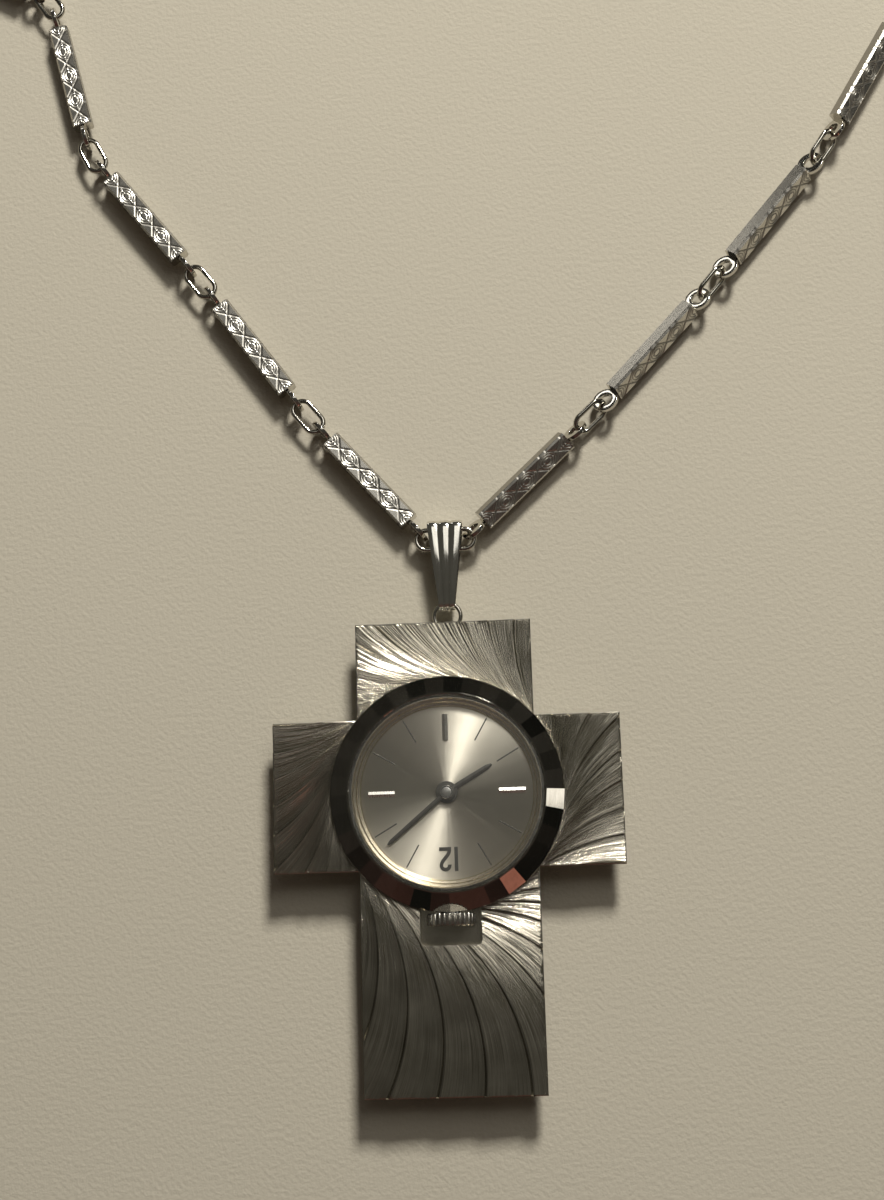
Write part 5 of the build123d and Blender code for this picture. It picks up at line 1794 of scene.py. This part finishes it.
@dataclass
class Bail:
    """Tapering strap bail with three ribs."""

    workshop: Workshop
    x: float = 0.55
    foot_y: float = 22.3586
    height: float = 2.25
    length: float = 8.90
    foot_radius: float = 0.60
    corner: float = 0.50
    opening_half: float = 1.20
    strap: float = 0.45
    top_width: float = 4.30
    foot_width: float = 1.70
    rib_depth: float = 0.21
    rib_foot: float = 0.55
    rib_growth: float = 0.45
    rib_places: tuple = (-0.68, 0.0, 0.68)
    rib_half: float = 0.34
    rib_round: float = 0.92
    inner_share: float = 0.97
    bulge: float = 0.36
    bulge_round: float = 0.04
    loop_steps: int = 72
    straight_steps: int = 14
    columns: int = 36

    def _loop(self) -> list[tuple[Vector, Vector]]:
        """Point and outward direction along the bail's opening, in y and z.

        Returns:
            The points and directions in order.
        """
        offset = self.opening_half - self.corner
        circles = [(Vector((self.foot_y, self.height)), self.foot_radius)]
        for side in (-1, 1):
            centre = Vector((self.foot_y + self.length, self.height + side * offset))
            circles.append((centre, self.corner))
        course: list[tuple[Vector, Vector]] = []
        last = None
        for step in range(self.loop_steps + 1):
            turn = FULL_TURN * step / self.loop_steps
            out = Vector((math.cos(turn), math.sin(turn)))
            centre, radius = max(circles, key=lambda circle: circle[0].dot(out) + circle[1])
            point = centre + radius * out
            if last is not None and last[0] != centre:
                for part in range(1, self.straight_steps):
                    share = part / self.straight_steps
                    facing = last[2].lerp(out, share).normalized()
                    course.append((last[1].lerp(point, share), facing))
            course.append((point, out))
            last = (centre, point, out)
        return course[:-1]

    def build(self) -> bpy.types.Object:
        """The strap, run round its opening.

        Returns:
            The finished piece.
        """
        low_y = self.foot_y - self.foot_radius - self.strap
        top_y = self.foot_y + self.length + self.corner + self.strap
        vertices: list[Point] = []
        for point, out in self._loop():
            share = (point.x - low_y) / (top_y - low_y)
            half = (self.foot_width + (self.top_width - self.foot_width) * share) / 2
            depth = self.rib_depth * (self.rib_foot + self.rib_growth * share)
            tent = math.sqrt(1 + self.bulge_round)
            tent -= math.sqrt((2 * share - 1) ** 2 + self.bulge_round)
            swell = self.bulge * tent * max(0.0, out.y)
            section = []
            for column in range(self.columns + 1):
                u = 2 * column / self.columns - 1
                rib = min(abs(u - place) for place in self.rib_places) / self.rib_half
                bow = math.sqrt(max(0.0, 1 - self.rib_round * min(rib, 1.0) ** 2))
                section.append((u * half, self.strap - depth * (1 - bow) + swell))
            section += [(half * self.inner_share, 0.0), (-half * self.inner_share, 0.0)]
            for x, lift in section:
                spot = point + out * lift
                vertices.append((self.x + x, spot.x, spot.y))
        count = self.columns + 3
        faces = strips(len(vertices) // count, count)
        bail = self.workshop.clean(self.workshop.piece("ribbed_bail", vertices, faces))
        return self.workshop.dress(bail, "bail", "bright_steel", ["bail"], 38.0, "bail_steel")


class LinkKind(Enum):
    """The kinds of link in the chain."""

    BAR = "bar"
    RING = "ring"


@dataclass(frozen=True)
class LinkPlace:
    """Where a link lies: its kind, heading, roll and the ends of its run."""

    kind: LinkKind
    heading: float
    roll: float
    start: Flat
    end: Flat

    def middle(self) -> Flat:
        """The middle of the run."""
        return (self.start[0] + self.end[0]) / 2, (self.start[1] + self.end[1]) / 2


@dataclass
class Chain:
    """Bars and oval rings on both sides of the bail, with the centre link."""

    workshop: Workshop
    height: float = 1.70
    centre_x: float = 0.55
    centre_y: float = 30.1886
    centre_straight: float = 4.50
    centre_radius: float = 1.20
    wire: float = 0.30
    jump_y: float = 20.8086
    jump_z: float = 2.25
    jump_radius: float = 1.55
    jump_wire: float = 0.25
    ring_radius: float = 1.15
    ring_straight: float = 2.20
    end_ring_radius: float = 1.80
    eye_play: float = 0.40
    pitch: float = 17.0
    half_body: float = 7.0
    half_width: float = 1.20
    half_thickness: float = 0.90
    bevel: float = 0.25
    eye_radius: float = 1.60
    eye_hole: float = 0.80
    eye_thickness: float = 0.50
    eye_edge: float = 0.07
    eye_steps: int = 44
    cut_depth: float = 0.065
    cut_half: float = 0.085
    cut_turn: float = 38.0
    cut_end: float = 0.3
    crossings: int = 4
    oval_length: float = 1.25
    oval_width: float = 0.95
    oval_sizes: tuple = (0.42, 0.72, 0.98)
    oval_line: float = 0.7
    oval_break: float = 0.04
    face_columns: int = 26
    rows: int = 150
    jointed: int = 7
    left_headings: tuple = (131.3, 129.0, 126.0, 127.5, 128.5, 117.0, 104.0, 124.0, 150.0, 190.0,
                            235.0, 254.0, 268.0, 269.0, 270.0, 270.0, 270.0, 268.0)
    right_headings: tuple = (42.7, 42.5, 46.2, 49.0, 49.0, 54.5, 58.5, 47.0, 30.0, -10.0,
                             -55.0, -74.0, -88.0, -89.0, -90.0, -90.0, -90.0, -88.0)
    right_rolls: tuple = (30.0, 44.0, 58.0, 58.0, 58.0, 50.0, 36.0, 18.0)

    def course(self, side: int) -> list[LinkPlace]:
        """Every link of one side in order.

        Args:
            side: -1 for the left, 1 for the right.

        Returns:
            The places of its links.
        """
        headings = self.right_headings if side > 0 else self.left_headings
        x, y = self.centre_x + side * self.centre_straight / 2, self.centre_y
        reach = self.centre_radius + self.eye_play
        places = []
        for index, heading in enumerate(headings):
            roll = self.right_rolls[index] if side > 0 and index < len(self.right_rolls) else 0.0
            cos, sin = math.cos(math.radians(heading)), math.sin(math.radians(heading))
            if index % 2 == 0:
                start = (x + reach * cos, y + reach * sin)
                end = (start[0] + self.pitch * cos, start[1] + self.pitch * sin)
                places.append(LinkPlace(LinkKind.BAR, heading, roll, start, end))
                reach = self.ring_radius + self.eye_play
                x, y = end[0] + reach * cos, end[1] + reach * sin
            else:
                start = (x, y)
                x, y = x + self.ring_straight * cos, y + self.ring_straight * sin
                places.append(LinkPlace(LinkKind.RING, heading, roll, start, (x, y)))
        return places

    def _cut(self, x: float, y: float) -> float:
        """Share of the engraving's depth at a place on a bar's wide face.

        Args:
            x: The place along the bar.
            y: The place across it.

        Returns:
            The share, from 0 on the plain face to 1 in the middle of a line.
        """
        spacing = 2 * self.half_body / self.crossings
        nearest = math.inf
        slope = math.radians(self.cut_turn)
        for index in range(self.crossings):
            middle = -self.half_body + spacing * (index + 0.5)
            for sign in (-1, 1):
                across = abs((x - middle) * math.sin(slope) - sign * y * math.cos(slope))
                if abs(x - middle) < spacing / 2:
                    nearest = min(nearest, across / self.cut_half)
        for index in range(self.crossings + 1):
            middle = -self.half_body + spacing * index
            wide = math.hypot((x - middle) / self.oval_length, y / self.oval_width)
            if wide < 1.0 and abs(y) > self.oval_break:
                for size in self.oval_sizes:
                    along, aside = self.oval_length * size, self.oval_width * size
                    arc = abs(math.hypot((x - middle) / along, y / aside) - 1)
                    arc *= self.oval_width * size
                    nearest = min(nearest, arc / (self.cut_half * self.oval_line))
        return math.exp(-(nearest**2))

    def _bar_vertices(self) -> tuple[list[Point], list[Face], list[float]]:
        """Points, faces and depth of cut of one bar about its own middle, along X.

        Returns:
            The points, the faces and each point's share of the cut.
        """
        flat = self.half_width - self.bevel
        side = self.half_thickness - self.bevel
        vertices: list[Point] = []
        depths: list[float] = []
        for row in range(self.rows + 1):
            x = -self.half_body + 2 * self.half_body * row / self.rows
            closing = min(1.0, (self.half_body - abs(x)) / self.cut_end)
            for way in (1, -1):
                for column in range(self.face_columns + 1):
                    y = way * (flat - 2 * flat * column / self.face_columns)
                    share = self._cut(x, y) * closing
                    vertices.append((x, y, way * (self.half_thickness - self.cut_depth * share)))
                    depths.append(share)
                wide = -way * self.half_width
                vertices += [(x, wide, way * side), (x, wide, -way * side)]
                depths += [0.0, 0.0]
        count = len(vertices) // (self.rows + 1)
        first, last = range(count), range(len(vertices) - count, len(vertices))
        faces = [tuple(first), tuple(reversed(last))] + strips(self.rows + 1, count, ring=False)
        return vertices, faces, depths

    def _bar(self) -> bpy.types.Object:
        """The pattern for every bar: an engraved body with an upright eye at each end.

        Returns:
            The pattern.
        """
        vertices, faces, depths = self._bar_vertices()
        half = self.eye_thickness / 2
        profile = rounded_profile(self.eye_hole, self.eye_radius, -half, half, self.eye_edge)
        eye_vertices, eye_faces = lathe(profile, self.eye_steps)
        for side in (-1, 1):
            placed = [(side * self.pitch / 2 + x, z, y) for x, y, z in eye_vertices]
            add_shape((vertices, faces), (placed, eye_faces))
            depths += [0.0] * len(placed)
        bar = self.workshop.piece("bar_pattern", vertices, faces)
        depth = bar.data.attributes.new("cut_depth", "FLOAT", "POINT")
        depth.data.foreach_set("value", depths)
        return self._with_own_place(bar)

    def _with_own_place(self, link: bpy.types.Object) -> bpy.types.Object:
        """The link with its own coordinates in millimetres kept on its points.

        Args:
            link: A pattern at the origin.

        Returns:
            The same pattern.
        """
        with reworked(link) as work:
            bmesh.ops.recalc_face_normals(work, faces=work.faces)
        own = link.data.attributes.new("link_place", "FLOAT_VECTOR", "POINT")
        flat = [value / MM for vertex in link.data.vertices for value in vertex.co]
        own.data.foreach_set("vector", flat)
        return link

    def _oval(
        self, name: str, radius: float, straight: float, wire: float, steps: int = 18
    ) -> bpy.types.Object:
        """An oval wire link about its own middle, its long way along X.

        Args:
            name: The pattern's name.
            radius: The radius of its ends.
            straight: The length of its straight sides.
            wire: The wire's radius.
            steps: Flats in each end.

        Returns:
            The pattern.
        """
        points = []
        for end, start in ((1, -90), (-1, 90)):
            for step in range(steps + 1):
                turn = math.radians(start + 180 * step / steps)
                x = end * straight / 2 + radius * math.cos(turn)
                points.append((x, radius * math.sin(turn), 0.0))
        if straight == 0:
            points = points[:steps] + points[steps + 1:-1]
        count = len(points)
        link = self.workshop.piece(name, points, [(i, (i + 1) % count) for i in range(count)])
        self.workshop.wire.run(
            link, Wire_radius=wire * MM, Sides=18, Material=self.workshop.finishes["chain_silver"]
        )
        return self._with_own_place(link)

    def _set(
        self, name: str, pattern: bpy.types.Object, places: Sequence[tuple[Point, float, float]]
    ) -> bpy.types.Object:
        """Copies of a pattern at places, each with its roll and heading, as one piece.

        Args:
            name: The piece's name.
            pattern: What is copied.
            places: Middle, roll and heading of each copy.

        Returns:
            The copies as one piece.
        """
        links = self.workshop.piece(name, [place for place, _, _ in places], [])
        turns = links.data.attributes.new("turns", "FLOAT_VECTOR", "POINT")
        flat = []
        for _, roll, heading in places:
            flat += [math.radians(roll), 0.0, math.radians(heading)]
        turns.data.foreach_set("vector", flat)
        material = self.workshop.finishes["chain_silver"]
        return self.workshop.links.run(links, Link=pattern, Material=material)

    def _placed(self, link: LinkPlace) -> tuple[Point, float, float]:
        """A link's middle, roll and heading."""
        x, y = link.middle()
        return (x, y, self.height), link.roll, link.heading

    def _build_side(
        self, side: int, name: str, bar: bpy.types.Object, ring: bpy.types.Object,
        end: bpy.types.Object,
    ) -> None:
        """All links of one side.

        Args:
            side: -1 for the left, 1 for the right.
            name: The side's name.
            bar: The pattern of the bars.
            ring: The pattern of the rings.
            end: The pattern of the end ring.
        """
        places = self.course(side)
        for index, link in enumerate(places[: self.jointed]):
            label = f"{link.kind.value}_{name}_{index // 2 + 1}"
            node = f"chain_{label}"
            pattern = bar if link.kind is LinkKind.BAR else ring
            piece = self._set(f"engraved_{label}", pattern, [self._placed(link)])
            finish = "" if link.kind is LinkKind.BAR else "wire_silver"
            self.workshop.dress(piece, node, "chain_silver", [node], 28.0, finish)
        rear = places[self.jointed:]
        node = f"rear_chain_{name}"
        straight = [self._placed(link) for link in rear if link.kind is LinkKind.BAR]
        bars = self._set(f"rear_bars_{name}", bar, straight)
        self.workshop.dress(bars, node, "chain_silver", [node], 28.0)
        ovals = [p for p in rear if p.kind is LinkKind.RING]
        if side > 0:
            last = ovals.pop()
            reach = self.end_ring_radius - self.ring_radius
            turn = math.radians(last.heading)
            x, y = last.start[0] + reach * math.cos(turn), last.start[1] + reach * math.sin(turn)
            self._wire(self._set("end_ring", end, [((x, y, self.height), 0.0, 0.0)]), node)
        rings = self._set(f"rear_rings_{name}", ring, [self._placed(p) for p in ovals])
        self._wire(rings, node, [node])

    def _wire(self, piece: bpy.types.Object, body: str, replaces: Sequence[str] = ()) -> None:
        """Finish a piece of round wire."""
        self.workshop.dress(piece, body, "chain_silver", replaces, 30.0, "wire_silver")

    def build(self) -> None:
        """The whole chain, from the jump ring outwards."""
        bar = self._bar()
        ring = self._oval("ring_pattern", self.ring_radius, self.ring_straight, self.wire)
        end = self._oval("end_pattern", self.end_ring_radius, 0.0, self.wire, 24)
        jump = self._oval("jump_pattern", self.jump_radius, 0.0, self.jump_wire, 24)
        centre = self._oval("centre_pattern", self.centre_radius, self.centre_straight, self.wire)
        self._build_side(-1, "left", bar, ring, end)
        self._build_side(1, "right", bar, ring, end)
        place = ((self.centre_x, self.centre_y, self.height), 0.0, 0.0)
        self._wire(self._set("centre_oval", centre, [place]), "centre_link", ["centre_link"])
        place = ((self.centre_x, self.jump_y, self.jump_z), 0.0, 0.0)
        self._wire(self._set("round_jump_ring", jump, [place]), "jump_ring", ["jump_ring"])
        for pattern in (bar, ring, end, jump, centre):
            bpy.data.objects.remove(pattern)


@dataclass
class CarriedNodes:
    """CAD nodes whose shape stays, with better finishes."""

    workshop: Workshop
    frame: dict

    def dress(self) -> None:
        """Give each node's slots the finish that the record names."""
        for name, node in self.frame["nodes"].items():
            for slot in node.material_slots:
                key = slot.material.name.split(".")[0]
                if key in self.workshop.finishes:
                    slot.material = self.workshop.finishes[key]
            LOG.info("%s keeps its shape", name)


@dataclass(frozen=True)
class SoftLight:
    """A rectangular softbox aimed at a point near the watch."""

    name: str
    azimuth: float
    elevation: float
    distance: float
    width: float
    depth: float
    radiance: float
    across: Point = (1.0, 0.0, 0.0)
    colour: Colour = (1.0, 0.97, 0.90)
    aim: Point = (0.0, 0.015, 0.0)

    def build(self) -> bpy.types.Object:
        """Place the light.

        Returns:
            The light's object.
        """
        data = bpy.data.lights.new(self.name, "AREA")
        data.shape = "RECTANGLE"
        data.size, data.size_y = self.width, self.depth
        data.energy = self.radiance * math.pi * self.width * self.depth
        data.color = self.colour
        light = bpy.data.objects.new(self.name, data)
        turn, lift = math.radians(self.azimuth), math.radians(self.elevation)
        level = math.cos(lift)
        towards = Vector((math.cos(turn) * level, math.sin(turn) * level, math.sin(lift)))
        light.location = Vector(self.aim) + towards * self.distance
        across = Vector(self.across)
        across = (across - towards * across.dot(towards)).normalized()
        axes = Matrix((across, towards.cross(across), towards)).transposed()
        light.rotation_euler = axes.to_euler()
        bpy.context.scene.collection.objects.link(light)
        return light


@dataclass
class Studio:
    """Floor, soft light, surroundings and the camera at the photograph's angle."""

    floor_size: float = 3.0
    floor_level: float = -0.00003
    lens: float = 49.01
    sensor: float = 36.0
    eye: Point = (0.010334, -0.013308, 0.19111)
    right: Point = (0.99775, -0.02897, -0.06039)
    up: Point = (0.03973, 0.98186, 0.18540)
    backward: Point = (0.05393, -0.18738, 0.98081)
    zenith: Colour = (0.062, 0.059, 0.050)
    shoulder: Colour = (0.048, 0.045, 0.038)
    horizon: Colour = (0.42, 0.385, 0.30)
    horizon_height: float = 0.03
    shoulder_height: float = 0.07
    room_height: float = 0.05
    near_side: Colour = (0.085, 0.040, 0.031)
    near_growth: float = 1.6
    near_start: float = 0.4
    patch: Colour = (0.012, 0.012, 0.010)
    patch_scale: float = 4.0
    patch_contrast: float = 5.0
    patch_share: float = 0.45
    patch_height: float = 0.45
    lamp: Colour = (0.60, 0.24, 0.17)
    lamp_way: Point = (0.545, -0.785, 0.296)
    lamp_cosine: float = 0.9955
    lights: tuple[SoftLight, ...] = (
        SoftLight("key_softbox", 74.0, 38.0, 0.80, 0.14, 0.14, 134.0),
        SoftLight("high_fill", 56.0, 55.0, 0.80, 0.28, 0.28, 3.2),
        SoftLight("upper_panel", 63.0, 71.0, 0.60, 0.37, 0.11, 1.15),
        SoftLight("left_strip", 118.7, 15.0, 0.55, 0.10, 0.05, 3.6, aim=(0.026, 0.052, 0.0)),
        SoftLight("right_strip", -2.0, 17.0, 0.50, 0.025, 0.06, 2.6, (0.0, 1.0, 0.0)),
    )

    def build(self) -> None:
        """Make everything round the object."""
        self._floor()
        self._surroundings()
        for light in self.lights:
            light.build()
        self._camera()
        bpy.context.scene.view_settings.view_transform = "Standard"

    def _floor(self) -> None:
        """The plain pale floor."""
        half = self.floor_size / 2
        mesh = bpy.data.meshes.new("floor")
        corners = [(-half, -half, self.floor_level), (half, -half, self.floor_level),
                   (half, half, self.floor_level), (-half, half, self.floor_level)]
        mesh.from_pydata(corners, [], [(0, 1, 2, 3)])
        mesh.materials.append(FloorFinish().build())
        floor = bpy.data.objects.new("floor", mesh)
        bpy.context.scene.collection.objects.link(floor)
        floor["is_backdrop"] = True

    def _surroundings(self) -> None:
        """A dim room above a pale horizon, warm on the near side, with dark patches and a lamp."""
        world = bpy.data.worlds.new("dim_room")
        world.use_nodes = True
        book = NodeBook(world.node_tree)
        book.tree.nodes.clear()
        heading = book.node("ShaderNodeTexCoord", output="Generated")
        _, depth, height = book.parts(heading)
        stops = [(0.0, self.horizon), (self.horizon_height, self.horizon),
                 (self.shoulder_height, self.shoulder), (1.0, self.zenith)]
        dome = book.ramp(height, stops)
        above = height.function("GREATER_THAN", self.room_height)
        near = (depth * -self.near_growth - self.near_start).function("MAXIMUM", 0.0)
        room = book.blend(near * above, dome, self.near_side)
        dark = (book.noise(heading, self.patch_scale) - 0.5) * -self.patch_contrast
        low = height.function("LESS_THAN", self.patch_height)
        patched = book.blend((dark + self.patch_share) * low * above, room, self.patch)
        values = {0: heading, 1: self.lamp_way}
        cosine = book.node("ShaderNodeVectorMath", {"operation": "DOT_PRODUCT"}, values, "Value")
        colour = book.blend(cosine.function("GREATER_THAN", self.lamp_cosine), patched, self.lamp)
        background = book.node("ShaderNodeBackground", None, {"Color": colour, "Strength": 1.0})
        book.hand_over("ShaderNodeOutputWorld", background)
        bpy.context.scene.world = world

    def _camera(self) -> None:
        """The camera, solved on the photograph."""
        data = bpy.data.cameras.new("photo_camera")
        data.sensor_fit = "AUTO"
        data.sensor_width = self.sensor
        data.lens = self.lens
        data.clip_start = 0.001
        data.clip_end = 20.0
        camera = bpy.data.objects.new("photo_camera", data)
        axes = Matrix((self.right, self.up, self.backward)).transposed().to_4x4()
        camera.matrix_world = Matrix.Translation(self.eye) @ axes
        bpy.context.scene.collection.objects.link(camera)
        bpy.context.scene.camera = camera


def corners(bounds: tuple[Vector, Vector]) -> list[list[float]]:
    """A box as plain lists."""
    return [list(corner) for corner in bounds]


def main() -> None:
    """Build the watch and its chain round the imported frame."""
    logging.basicConfig(level=logging.INFO, format="%(name)s: %(message)s")
    for leftover in list(bpy.data.objects):
        bpy.data.objects.remove(leftover)
    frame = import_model()
    cad_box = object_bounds()
    Studio().build()
    workshop = Workshop()
    CarriedNodes(workshop, frame).dress()
    cross = CrossPlate(workshop)
    cross.build_plate()
    cross.build_loop()
    bezel = Bezel(workshop)
    bezel.build_bezel()
    bezel.build_crystal()
    dial = Dial(workshop)
    dial.build_plate()
    dial.build_ring()
    dial.build_markers()
    dial.build_numeral()
    Hand(
        workshop, "hour_hand_blade", "hour_hand", "hour_hand",
        length=6.0, width=0.65, hub=1.25, bore=0.72, low=5.20, turn=30.0,
    ).build()
    Hand(
        workshop, "minute_hand_blade", "minute_hand", "minute_hand",
        length=8.9, width=0.52, hub=0.95, bore=0.45, low=5.52, turn=220.0,
    ).build()
    CentreCap(workshop).build()
    Crown(workshop).build()
    Bail(workshop).build()
    Chain(workshop).build()
    {"cad": corners(cad_box), "visual": corners(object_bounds())}


if __name__ == "__main__":
    main()
